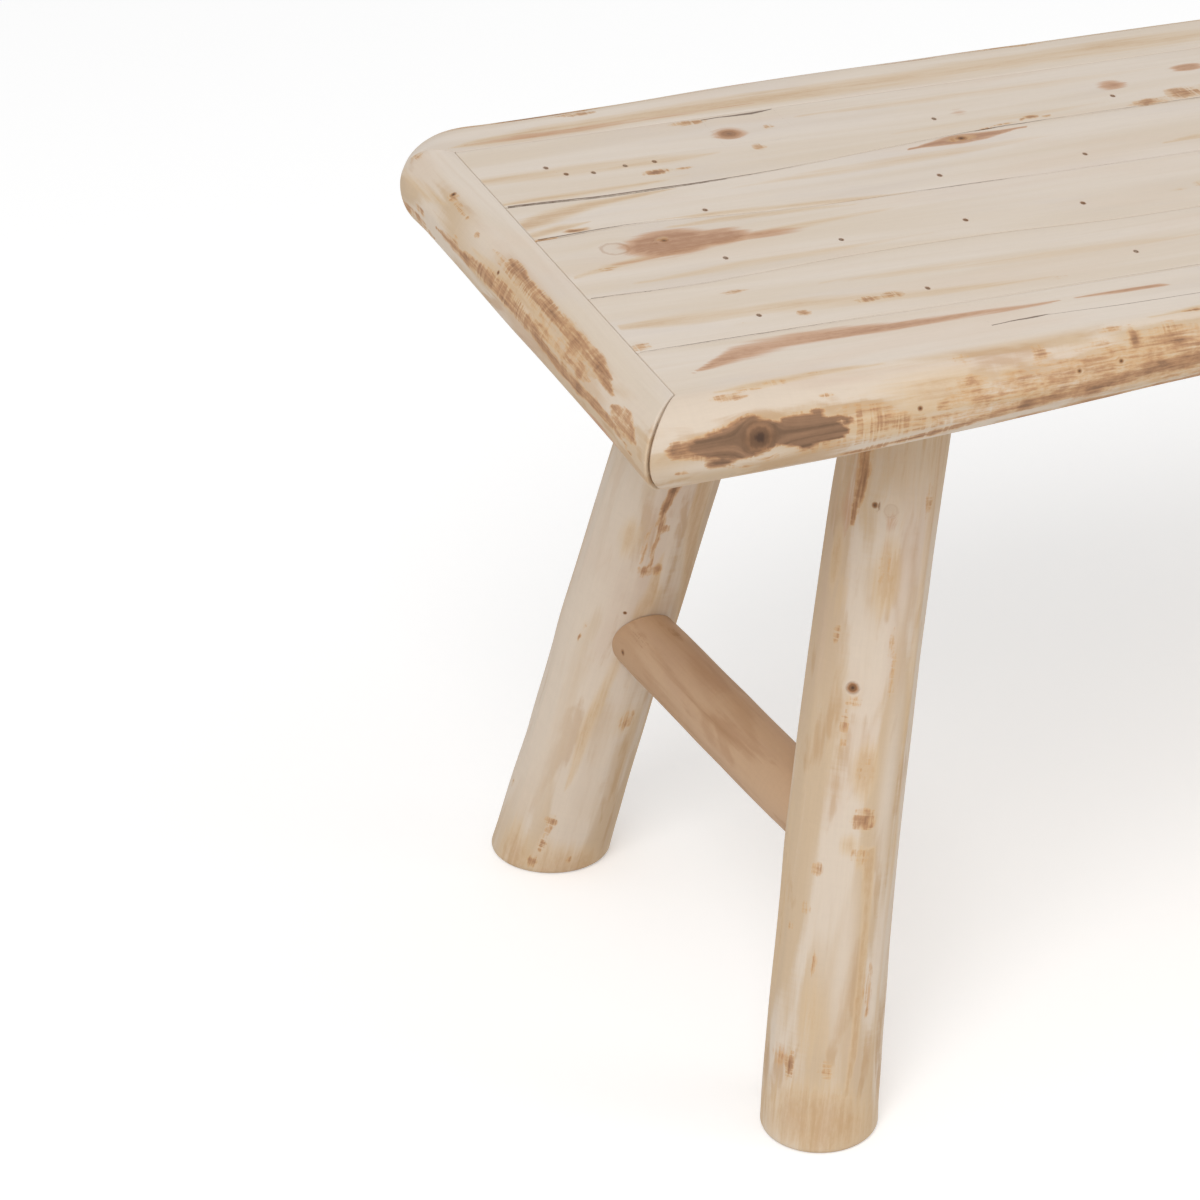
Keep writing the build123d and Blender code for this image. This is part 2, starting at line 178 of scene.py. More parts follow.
# Takes the cutters out of a piece and throws them away
def cutAway(piece, cutters):
    for cutter in cutters:
        cut = piece.modifiers.new("cut", "BOOLEAN")
        cut.operation = "DIFFERENCE"
        cut.solver = "EXACT"
        cut.object = cutter
    bpy.context.view_layer.update()
    evaluated = piece.evaluated_get(bpy.context.evaluated_depsgraph_get())
    shaped = bpy.data.meshes.new_from_object(evaluated)
    piece.modifiers.clear()
    piece.data = shaped
    for cutter in cutters:
        bpy.data.objects.remove(cutter)


def cutterFrom(name, shape):
    mesh = bpy.data.meshes.new(name)
    shape.to_mesh(mesh)
    shape.free()
    return addObject(name, mesh)


# One object of boxes, each given by its lowest and highest corner in mm
def boxCutter(name, boxes):
    shape = bmesh.new()
    for low, high in boxes:
        low, high = Vector(low) / 1000, Vector(high) / 1000
        place = Matrix.Translation((low + high) / 2) @ Matrix.Diagonal((*(high - low), 1))
        bmesh.ops.create_cube(shape, size=1, matrix=place)
    return cutterFrom(name, shape)


# One object of upright oval holes at places in mm. halves are half their length and width
def ovalCutter(name, places, halves, low, high):
    shape = bmesh.new()
    size = Matrix.Diagonal((halves[0] / 1000, halves[1] / 1000, (high - low) / 1000, 1))
    for x, y in places:
        place = Matrix.Translation(Vector((x, y, (low + high) / 2)) / 1000) @ size
        bmesh.ops.create_cone(shape, segments=16, radius1=1, radius2=1, depth=1, cap_ends=True, matrix=place)
    return cutterFrom(name, shape)


# The right half is the left one turned over
def mirrored(points, side):
    return points * (-1, 1, 1) if side > 0 else points


def pointsOf(piece):
    points = np.zeros(len(piece.data.vertices) * 3)
    piece.data.vertices.foreach_get("co", points)
    return points.reshape(-1, 3) * 1000


def writeAttribute(piece, name, values):
    kind = "FLOAT" if values.ndim == 1 else "FLOAT_VECTOR"
    attribute = piece.data.attributes.new(name, kind, "POINT")
    attribute.data.foreach_set("value" if kind == "FLOAT" else "vector", values.astype(np.float32).ravel())


# Wood marks. skin holds how far along the grain and how far across it each point lies, in mm


# Spots are (along, across, half length, half width, strength)
def spotField(skin, spots):
    field = np.zeros(len(skin))
    for along, across, length, width, strength in spots:
        away = np.hypot((skin[:, 0] - along) / length, (skin[:, 1] - across) / width)
        field = np.maximum(field, strength * (1 - smooth(away, 0.1, 1.5)))
    return field


# Middle and half width of a path of (along, across, half width). It has no width beyond its ends
def pathAt(path, along):
    stations, middles, widths = zip(*path)
    return np.interp(along, stations, middles), np.interp(along, stations, widths, left=0, right=0)


# Streaks are (strength, path), with the path in order along the grain
def streakField(skin, streaks):
    field = np.zeros(len(skin))
    for strength, path in streaks:
        middle, width = pathAt(path, skin[:, 0])
        away = np.abs(skin[:, 1] - middle) / np.maximum(width, 0.01)
        field = np.maximum(field, strength * (1 - smooth(away, 0.15, 1.5)) * (width > 0.05))
    return field


# Random marks for a stretch of skin: (along from, to), (across from, to) and how many of each
def scatterMarks(seed, along, across, bark=0, tan=0, red=0, knots=0):
    pick = np.random.default_rng(seed)
    marks = {"barkSpots": [], "barkStreaks": [], "tanStreaks": [], "redSpots": [], "knots": []}

    def streak(longest, widest):
        start, side = pick.uniform(*along), pick.uniform(*across)
        length, width = pick.uniform(0.3, 1) * longest, pick.uniform(0.3, 1) * widest
        shape = [(0, 0, 0), (0.25, 1, 1), (0.5, -0.6, 0.6), (0.75, -1, 0.9), (1, 0.5, 0)]
        return [(start + a * length, side + b * pick.uniform(0, 3), c * width) for a, b, c in shape]

    for _ in range(bark):
        middle, side = pick.uniform(*along), pick.uniform(*across)
        if pick.uniform() < 0.3:
            marks["barkStreaks"].append((pick.uniform(0.45, 1.3), streak(110, 7)))
            continue
        for _ in range(pick.integers(1, 4)):
            length = pick.uniform(2, 22)
            size = (length, min(pick.uniform(1, 6), length * 0.6), pick.uniform(0.35, 1))
            marks["barkSpots"].append((middle + pick.normal(0, 16), side + pick.normal(0, 4), *size))
    for _ in range(tan):
        marks["tanStreaks"].append((pick.uniform(0.5, 1), streak(200, 8)))
    for _ in range(red):
        middle, side = pick.uniform(*along), pick.uniform(*across)
        size = (pick.uniform(12, 34), pick.uniform(3, 9), pick.uniform(0.5, 1.2))
        marks["redSpots"].append((middle, side, *size))
    for _ in range(knots):
        middle, side, radius = pick.uniform(*along), pick.uniform(*across), pick.uniform(2, 6)
        marks["knots"].append((middle, side, radius, pick.uniform(0.5, 1)))
        marks["redSpots"].append((middle + pick.uniform(-6, 6), side, radius * 3, radius * 1.4, 0.7))
    return marks


# One set of marks from several, lists joined
def joinMarks(first, *others):
    joined = dict(first)
    for other in others:
        for name, found in other.items():
            joined[name] = list(joined.get(name, ())) + list(found)
    return joined


# Writes everything that the wood materials read. grain is in mm, along first. Knots are
# (along, across, radius, darkness) and turn the grain. Stains are the same with two radii and don't;
# they paint shade into the nail holes, running out a little as an iron stain round them. Checks are
# paths of open cracks and of painted shade beside the slat seams, and barkMost and its like cap a
# field. outer is 1 on the round outside of a log and 0 where it was planed. run is which way the
# skin goes, in the last two directions of grain
def dressWood(piece, grain, skin, marks, outer, run=(1, 0)):
    offset = np.full((len(skin), 3), 60.0)
    offset[:, 2] = 0
    nearest = np.full(len(skin), 60.0)
    aside = np.zeros(len(skin))
    rounds = [(*knot, True) for knot in marks.get("knots", ())]
    # Stains paint shade into the nail holes in a knot's colours, without turning the grain
    rounds += [(*holeShadeAndStain, False) for holeShadeAndStain in marks.get("holeShadesAndStains", ())]
    for along, across, radius, darkness, turns in rounds:
        away = (skin - (along, across)) / radius
        reach = np.hypot(away[:, 0], away[:, 1])
        if turns:
            fading = np.exp(-((away[:, 0] / 6) ** 2))
            aside += radius * away[:, 1] / np.maximum(reach, 0.9) ** 2 * fading
        closer = reach < nearest
        nearest = np.where(closer, reach, nearest)
        offset[closer, :2] = away[closer]
        offset[closer, 2] = darkness * (1 - smooth(reach[closer], 2, 3.5))
    # Open cracks, and the painted shade beside the slat seams, both as paths
    crackAndSeamShade = np.tile((60.0, 0.0, 0.0), (len(skin), 1))
    for path in marks.get("checksAndSeamShade", ()):
        middle, width = pathAt(path, skin[:, 0])
        away = skin[:, 1] - middle
        closer = (np.abs(away) - width < np.abs(crackAndSeamShade[:, 0]) - crackAndSeamShade[:, 1]) & (width > 0)
        crackAndSeamShade[closer, 0], crackAndSeamShade[closer, 1] = away[closer], width[closer]
    seed = marks["seed"]
    flow = grain.copy()
    wander = drift(grain, (160, 45, 45), seed)
    flow[:, 1:] += wander[:, None] * (3.5, 1.75) - aside[:, None] * run
    flow += np.random.default_rng(seed).uniform(200, 900, 3)
    writeAttribute(piece, "grain", flow / 1000)
    writeAttribute(piece, "knot", offset)
    writeAttribute(piece, "crackAndSeamShade", crackAndSeamShade)
    writeAttribute(piece, "outer", np.clip(outer, 0, 1) * np.ones(len(skin)))
    for name in ("bark", "tan", "red", "clean"):
        field = spotField(skin, marks.get(name + "Spots", ()))
        field = np.maximum(field, streakField(skin, marks.get(name + "Streaks", ())))
        writeAttribute(piece, name, np.minimum(field, marks.get(name + "Most", 1.0)))


def finishPiece(piece, material, node):
    piece.data.materials.clear()
    piece.data.materials.append(material)
    piece.data.shade_smooth()
    piece.data.set_sharp_from_angle(angle=sharpEdge)
    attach(piece, "root")
    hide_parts(node)
    print("made", piece.name, len(piece.data.polygons), "faces")


# Node trees


# Linear colour from the usual 0 to 255 values
def paint(*shares):
    return tuple(((c / 255 + 0.055) / 1.055) ** 2.4 if c > 10 else c / 3294.6 for c in shares) + (1,)


nodeWork = {}  # "tree" is the node tree that new nodes go into


# Empties the node tree of a material or world. New nodes go there from now on
def startTree(holder):
    holder.use_nodes = True
    holder.node_tree.nodes.clear()
    nodeWork["tree"] = holder.node_tree


def join(output, socket):
    nodeWork["tree"].links.new(output, socket)


# inputs maps a socket's name or number to a value or to another node's output
def put(kind, inputs=None, **settings):
    node = nodeWork["tree"].nodes.new(kind)
    for key, value in settings.items():
        setattr(node, key, value)
    for key, value in (inputs or {}).items():
        if isinstance(value, bpy.types.NodeSocket):
            join(value, node.inputs[key])
        else:
            node.inputs[key].default_value = value
    return node


def calc(operation, a, b=0.0, c=0.0, clamp=False):
    return put("ShaderNodeMath", {0: a, 1: b, 2: c}, operation=operation, use_clamp=clamp).outputs[0]


def times(a, b):
    return calc("MULTIPLY", a, b)


def inverse(value, clamp=False):
    return calc("SUBTRACT", 1.0, value, clamp=clamp)


# Value about 0.5 turned into one about 0
def centred(value, gain):
    return calc("MULTIPLY_ADD", value, gain, -gain / 2)


def mixed(share, a, b, blend="MIX"):
    return put("ShaderNodeMix", {0: share, 6: a, 7: b}, data_type="RGBA", blend_type=blend).outputs[2]


# Colour made lighter or darker by a number
def shaded(colour, shade):
    grey = put("ShaderNodeCombineColor", {0: shade, 1: shade, 2: shade}).outputs[0]
    return mixed(1.0, colour, grey, "MULTIPLY")


# Value from low to high turned into a smooth 0 to 1
def between(value, low, high):
    inputs = {"Value": value, "From Min": low, "From Max": high}
    return put("ShaderNodeMapRange", inputs, interpolation_type="SMOOTHSTEP").outputs[0]


# Noise stretched by a scale for each axis, in cycles a metre
def fibre(vector, scale, detail=2.0, rough=0.5, twist=0.0):
    placed = put("ShaderNodeMapping", {"Vector": vector, "Scale": scale}).outputs[0]
    inputs = {"Vector": placed, "Scale": 1.0, "Detail": detail, "Roughness": rough, "Distortion": twist}
    return put("ShaderNodeTexNoise", inputs).outputs[0]


def attribute(name, output="Fac"):
    return put("ShaderNodeAttribute", attribute_name=name).outputs[output]


# New material with one shader: the material and the shader's inputs
def newMaterial(name, inputs):
    material = bpy.data.materials.new(name)
    startTree(material)
    shader = put("ShaderNodeBsdfPrincipled", inputs)
    join(shader.outputs[0], put("ShaderNodeOutputMaterial").inputs[0])
    return material, shader.inputs


# Peeled or planed log wood. looks holds its colours and how strong each mark is
def woodMaterial(name, looks):
    material, skin = newMaterial(name, {"Specular IOR Level": looks["shine"]})
    grain = attribute("grain", "Vector")
    outer = attribute("outer")

    # Streaks of growth, single fibres and marks of the blade across them
    broad = fibre(grain, (2.6, 38, 38), 3, 0.55, 0.4)
    lines = fibre(grain, (1.5, 190, 190), 3, 0.6, 0.2)
    fine = fibre(grain, (26, 900, 900), 2, 0.6)
    cloud = fibre(grain, (8, 26, 26), 3, 0.55, 0.3)
    wisp = fibre(grain, (17, 300, 300), 4, 0.68, 0.35)
    blade = fibre(grain, (430, 22, 22), 2, 0.6)
    island = fibre(grain, (70, 130, 130), 5, 0.7, 0.4)
    speck = fibre(grain, (210, 420, 420), 3, 0.7)

    # Planed faces
    planed = mixed(between(broad, 0.36, 0.68), looks["pale"], looks["warm"])
    planed = mixed(times(between(lines, 0.54, 0.76), looks["lineShare"]), planed, looks["line"])
    planed = mixed(times(between(cloud, 0.48, 0.72), looks["cloudShare"]), planed, looks["cool"])
    blush = between(fibre(grain, (6, 21, 21), 3, 0.6, 0.6), 0.5, 0.75)
    planed = mixed(times(blush, looks["blushShare"]), planed, looks["blush"])

    # Round outsides: islands of pale, warm and tan skin
    shift = calc("ADD", centred(blade, 0.06), centred(wisp, 0.16))
    patch = calc("ADD", fibre(grain, (8, 38, 38), 2, 0.5, 0.5), shift)
    spot = calc("ADD", fibre(grain, (17, 66, 66), 3, 0.55, 0.4), shift)
    kept = inverse(attribute("clean"), True)
    logSkin = mixed(times(between(patch, 0.44, 0.56), kept), looks["skinPale"], looks["skinWarm"])
    logSkin = mixed(times(times(between(spot, 0.54, 0.66), 0.7), kept), logSkin, looks["skinTan"])
    logSkin = mixed(times(blush, 0.45), logSkin, looks["skinBlush"])
    logSkin = mixed(times(between(wisp, 0.56, 0.78), 0.16), logSkin, looks["line"])
    colour = mixed(outer, planed, logSkin)

    # Tan wood along the grain and reddish wood round knots, both in fine streaks. Crisper on logs
    streaks = calc("ADD", centred(wisp, 1.1), centred(cloud, 0.9))
    for field, low, high, crisp in (("tan", 0.1, 1.0, 0.12), ("red", 0.2, 0.72, 0.1)):
        there = attribute(field)
        amount = calc("ADD", there, times(streaks, 0.9))
        lowest, highest = calc("MULTIPLY_ADD", outer, crisp, low), calc("MULTIPLY_ADD", outer, -crisp, high)
        share = times(between(amount, lowest, highest), between(there, 0.0, 0.3))
        deep = between(calc("ADD", amount, centred(speck, 0.7)), 0.55, 1.25)
        tint = mixed(deep, looks[field], looks[field + "Deep"])
        colour = mixed(times(share, looks[field + "Share"]), colour, tint)

    # Inner bark that the blade left, amber where it is thin, with scratches across the grain
    left = attribute("bark")
    glow = times(between(calc("ADD", left, streaks), 0.05, 0.7), between(left, 0.0, 0.25))
    colour = mixed(times(glow, 0.45), colour, looks["tan"])
    scored = times(between(blade, 0.5, 0.62), between(cloud, 0.38, 0.56))
    scored = times(scored, inverse(between(left, 0.62, 0.84)))
    band = fibre(grain, (85, 34, 34), 3, 0.6, 0.3)
    thread = fibre(grain, (34, 620, 620), 3, 0.65)
    edge = calc("ADD", centred(island, 0.9), centred(speck, 0.7))
    edge = calc("ADD", edge, calc("ADD", centred(band, 0.9), centred(thread, 1.3)))
    edge = calc("SUBTRACT", edge, times(scored, 0.3))
    edge = times(edge, calc("MULTIPLY_ADD", between(left, 0.85, 1.15), -0.5, 1.0))
    bark = times(calc("ADD", left, edge), between(left, 0.0, 0.25))
    ramp = put("ShaderNodeValToRGB", {"Fac": times(bark, 0.75)})
    stops = (
        (0.14, "amber", 0.0),
        (0.3, "amber", 0.5),
        (0.44, "barkLight", 0.78),
        (0.64, "barkMid", 0.9),
        (0.84, "barkDark", 0.97),
    )
    while len(ramp.color_ramp.elements) < len(stops):
        ramp.color_ramp.elements.new(0.5)
    for element, (position, tint, share) in zip(ramp.color_ramp.elements, stops):
        element.position = position
        element.color = (*looks[tint][:3], share)
    barkHere = times(ramp.outputs["Alpha"], calc("MULTIPLY_ADD", scored, -0.4, 1.0))
    growth = fibre(grain, (5, 520, 520), 1, 0.5)
    barkShade = calc("ADD", calc("MULTIPLY_ADD", wisp, 0.4, 0.8), centred(speck, 0.3))
    barkShade = calc("ADD", barkShade, times(centred(growth, 1.5), between(left, 0.85, 1.1)))
    barkColour = shaded(ramp.outputs["Color"], barkShade)
    colour = mixed(barkHere, colour, barkColour)

    # Knots: rings about a dark heart, or only a faint rim where the knot is pale
    knot = put("ShaderNodeSeparateXYZ", {0: attribute("knot", "Vector")}).outputs
    flat = put("ShaderNodeCombineXYZ", {0: knot[0], 1: knot[1]}).outputs[0]
    dark = knot[2]
    reach = put("ShaderNodeVectorMath", {0: flat}, operation="LENGTH").outputs["Value"]
    reach = calc("ADD", reach, calc("ADD", centred(island, 0.8), centred(speck, 0.4)))
    rings = calc("MULTIPLY_ADD", calc("SINE", times(reach, 15.0)), 0.5, 0.5)
    heart = times(inverse(between(reach, 0.05, 0.7)), dark)
    knotColour = mixed(times(barkHere, 0.8), looks["knot"], barkColour)
    knotColour = mixed(times(rings, 0.3), knotColour, looks["knotDark"])
    knotColour = mixed(times(heart, 0.9), knotColour, looks["knotDark"])
    knotHere = times(inverse(between(reach, 0.55, 1.25)), between(dark, 0.1, 0.9))
    colour = mixed(knotHere, colour, knotColour)
    rim = inverse(between(calc("ABSOLUTE", calc("SUBTRACT", reach, 0.9)), 0.02, 0.22))
    rim = times(times(rim, between(dark, 0.05, 0.2)), inverse(between(dark, 0.3, 0.5)))
    rim = times(rim, times(between(cloud, 0.3, 0.62), 0.4))
    colour = mixed(rim, colour, looks["knot"])

    # Drying cracks, and painted shade beside the slat seams in the same dark colour
    crackAndSeamShade = put("ShaderNodeSeparateXYZ", {0: attribute("crackAndSeamShade", "Vector")}).outputs
    wobble = calc("ADD", centred(island, 1.3), centred(cloud, 1.2))
    away = calc("ABSOLUTE", calc("ADD", crackAndSeamShade[0], wobble))
    away = calc("DIVIDE", away, calc("MAXIMUM", crackAndSeamShade[1], 0.02))
    crackAndSeamShadeHere = inverse(between(away, 0.3, 1.4))
    colour = mixed(times(crackAndSeamShadeHere, 0.85), colour, looks["crackAndSeamShade"])

    # Fibres lighten and darken all of it a little
    bladeHere = times(blade, outer)
    shade = calc("MULTIPLY_ADD", fine, looks["fibreShade"], 1 - looks["fibreShade"] / 2)
    shade = times(shade, calc("MULTIPLY_ADD", speck, 0.05, 0.975))
    shade = times(shade, calc("MULTIPLY_ADD", bladeHere, 0.05, 0.98))
    join(shaded(colour, shade), skin["Base Color"])
    rough = calc("MULTIPLY_ADD", fine, 0.16, looks["rough"] - 0.08)
    join(calc("ADD", rough, times(barkHere, 0.12)), skin["Roughness"])
    height = calc("ADD", times(fine, 0.25), times(lines, 0.35))
    height = calc("ADD", height, times(bladeHere, 0.3))
    height = calc("ADD", height, times(times(barkHere, speck), 0.7))
    height = calc("SUBTRACT", height, times(times(knotHere, rings), 0.4))
    height = calc("SUBTRACT", height, times(crackAndSeamShadeHere, 1.6))
    bump = put("ShaderNodeBump", {"Strength": looks["bump"], "Distance": 0.0007, "Height": height})
    join(bump.outputs[0], skin["Normal"])
    return material


peeledLooks = {
    "pale": paint(223, 211, 198),
    "warm": paint(217, 202, 184),
    "cool": paint(211, 200, 192),
    "blush": paint(219, 199, 180),
    "line": paint(202, 180, 153),
    "lineShare": 0.16,
    "cloudShare": 0.4,
    "blushShare": 0.4,
    "skinPale": paint(216, 200, 182),
    "skinWarm": paint(203, 179, 150),
    "skinTan": paint(189, 155, 118),
    "skinBlush": paint(203, 177, 158),
    "tan": paint(212, 186, 152),
    "tanDeep": paint(194, 158, 118),
    "tanShare": 0.75,
    "red": paint(198, 158, 128),
    "redDeep": paint(166, 120, 88),
    "redShare": 0.9,
    "amber": paint(203, 160, 112),
    "barkLight": paint(184, 138, 98),
    "barkMid": paint(163, 120, 87),
    "barkDark": paint(136, 104, 80),
    "knot": paint(164, 118, 80),
    "knotDark": paint(72, 54, 44),
    "crackAndSeamShade": paint(96, 72, 56),
    "fibreShade": 0.06,
    "shine": 0.22,
    "rough": 0.64,
    "bump": 0.3,
}
brownLooks = dict(
    peeledLooks,
    line=paint(158, 122, 92),
    skinPale=paint(193, 160, 129),
    skinWarm=paint(184, 149, 117),
    skinTan=paint(176, 139, 107),
    skinBlush=paint(184, 150, 124),
    tan=paint(164, 126, 92),
    tanDeep=paint(148, 108, 76),
    amber=paint(158, 118, 84),
    barkLight=paint(142, 104, 76),
    barkMid=paint(126, 92, 68),
    barkDark=paint(106, 78, 58),
)
peeledWood = woodMaterial("peeledWood", peeledLooks)
brownWood = woodMaterial("brownWood", brownLooks)
print("wood finishes made")


# Rails


# Loops of a rail: how far each point stands out from the slats' edge and its height. flat and
# depth hold one value a station
def railLoops(flat, depth, steps):
    flat, half = np.asarray(flat)[:, None], np.asarray(depth)[:, None] / 2
    ones = np.ones_like(flat)
    arris = steps["arris"]
    across = np.linspace(0, 1, steps["top"])[None, :]
    turn = np.linspace(0, np.pi, steps["nose"])[None, 1:-1]
    back = np.linspace(1, 0, steps["under"])[None, :]
    rise = np.linspace(0, 1, steps["inner"])[None, 1:-1]
    out = [ones * 0, ones * arris * 0.29, arris + (flat - arris) * across]
    height = [-ones * arris, -ones * arris * 0.29, 0 * across * ones]
    out += [flat + half * np.sin(turn), flat * back, 0 * rise * ones]
    height += [half * (np.cos(turn) - 1), -2 * half + 0 * back, -2 * half + (2 * half - arris) * rise]
    return np.concatenate(out, axis=1), bench["seatTop"] + np.concatenate(height, axis=1)


# Distance across the skin of a rail from its inner top arris, over the flat and round the nose
def railSkin(out, height, flat, depth):
    half = depth / 2
    up = height - (bench["seatTop"] - half)
    onFlat = np.where(up > 0, out, flat + np.pi * half + flat - out)
    return np.where(out <= flat, onFlat, flat + np.arctan2(np.maximum(out - flat, 0), up) * half)


# Which way the skin of a rail runs, outwards and down
def railRun(skin, flat, depth, side):
    turn = np.clip((skin[:, 1] - flat) * 2 / depth, 0, np.pi)
    return np.stack([side * np.cos(turn), -np.sin(turn)], axis=1)


# Gently uneven round side of a rail with one value a point, in mm pressed in. The planed top
# stays nearly flat. grain runs along the rail first
def railUneven(grain, out, flat, seed, depth=1.1):
    flat = np.repeat(flat, out.shape[1])
    grain, out, shape = grain.reshape(-1, 3), out.ravel(), out.shape
    rounded = smooth(out - flat, -2, 8)
    long = drift(grain, (150, 30, 30), seed) * 0.5 + 0.5
    short = drift(grain, (38, 14, 14), seed + 1) * 0.5 + 0.5
    nose = bench["railNose"]
    turn = np.arctan2(np.maximum(out - flat, 0), grain[:, 2] - (bench["seatTop"] - nose))
    knife = knifeFlats(turn, grain[:, 0], nose, 13, seed + 6)
    uneven = rounded * (depth * long + 0.3 * short + 0.8 * knife) + (1 - rounded) * 0.12 * long
    return uneven.reshape(shape)


# Mesh of a long rail from its loops. side is -1 for the front and 1 for the back. flatOf gives the
# width of the flat and the depth at an x
def finishLongRail(name, node, side, looks, grid, out, flat, toEnd, flatOf):
    uneven = railUneven(grid, out, flat, looks["marks"]["seed"])
    pressed = uneven * smooth(toEnd, 0, 60) + endRounding(toEnd, 0.9)
    piece = meshFromLoops(name, grid - gridNormals(grid) * pressed[:, :, None])
    cutAway(piece, [housingCutter(side)])
    points = pointsOf(piece)
    flat, depth = flatOf(points[:, 0])
    across = railSkin(side * (points[:, 1] - innerEdge(side)), points[:, 2], flat, depth)
    skin = np.stack([points[:, 0], across], axis=1)
    marks = joinMarks(looks["marks"], looks["otherMarks"], looks["topMarks"])
    dressWood(piece, points, skin, marks, smooth(across - flat, -2, 6), railRun(skin, flat, depth, side))
    finishPiece(piece, peeledWood, node)


# Edge of the slats where the front rail (-1) or the back rail (1) starts
def innerEdge(side):
    return bench["fieldFront"] if side < 0 else bench["fieldBack"]


# Space that the slab ends lap into, under the front rail for side -1 and the back rail for 1
def housingCutter(side):
    low, clear = 380, 10  # below the rail, and past its inner face
    lap = bench["slabLap"] + bench["slabGap"]
    ends = sorted((innerEdge(side) - side * clear, innerEdge(side) + side * lap))
    half = bench["slabWidth"] / 2 + bench["slabGap"]
    boxes = [
        ((middle - half, ends[0], low), (middle + half, ends[1], bench["slabTop"]))
        for middle in (-bench["slabMiddle"], bench["slabMiddle"])
    ]
    return boxCutter("housing", boxes)


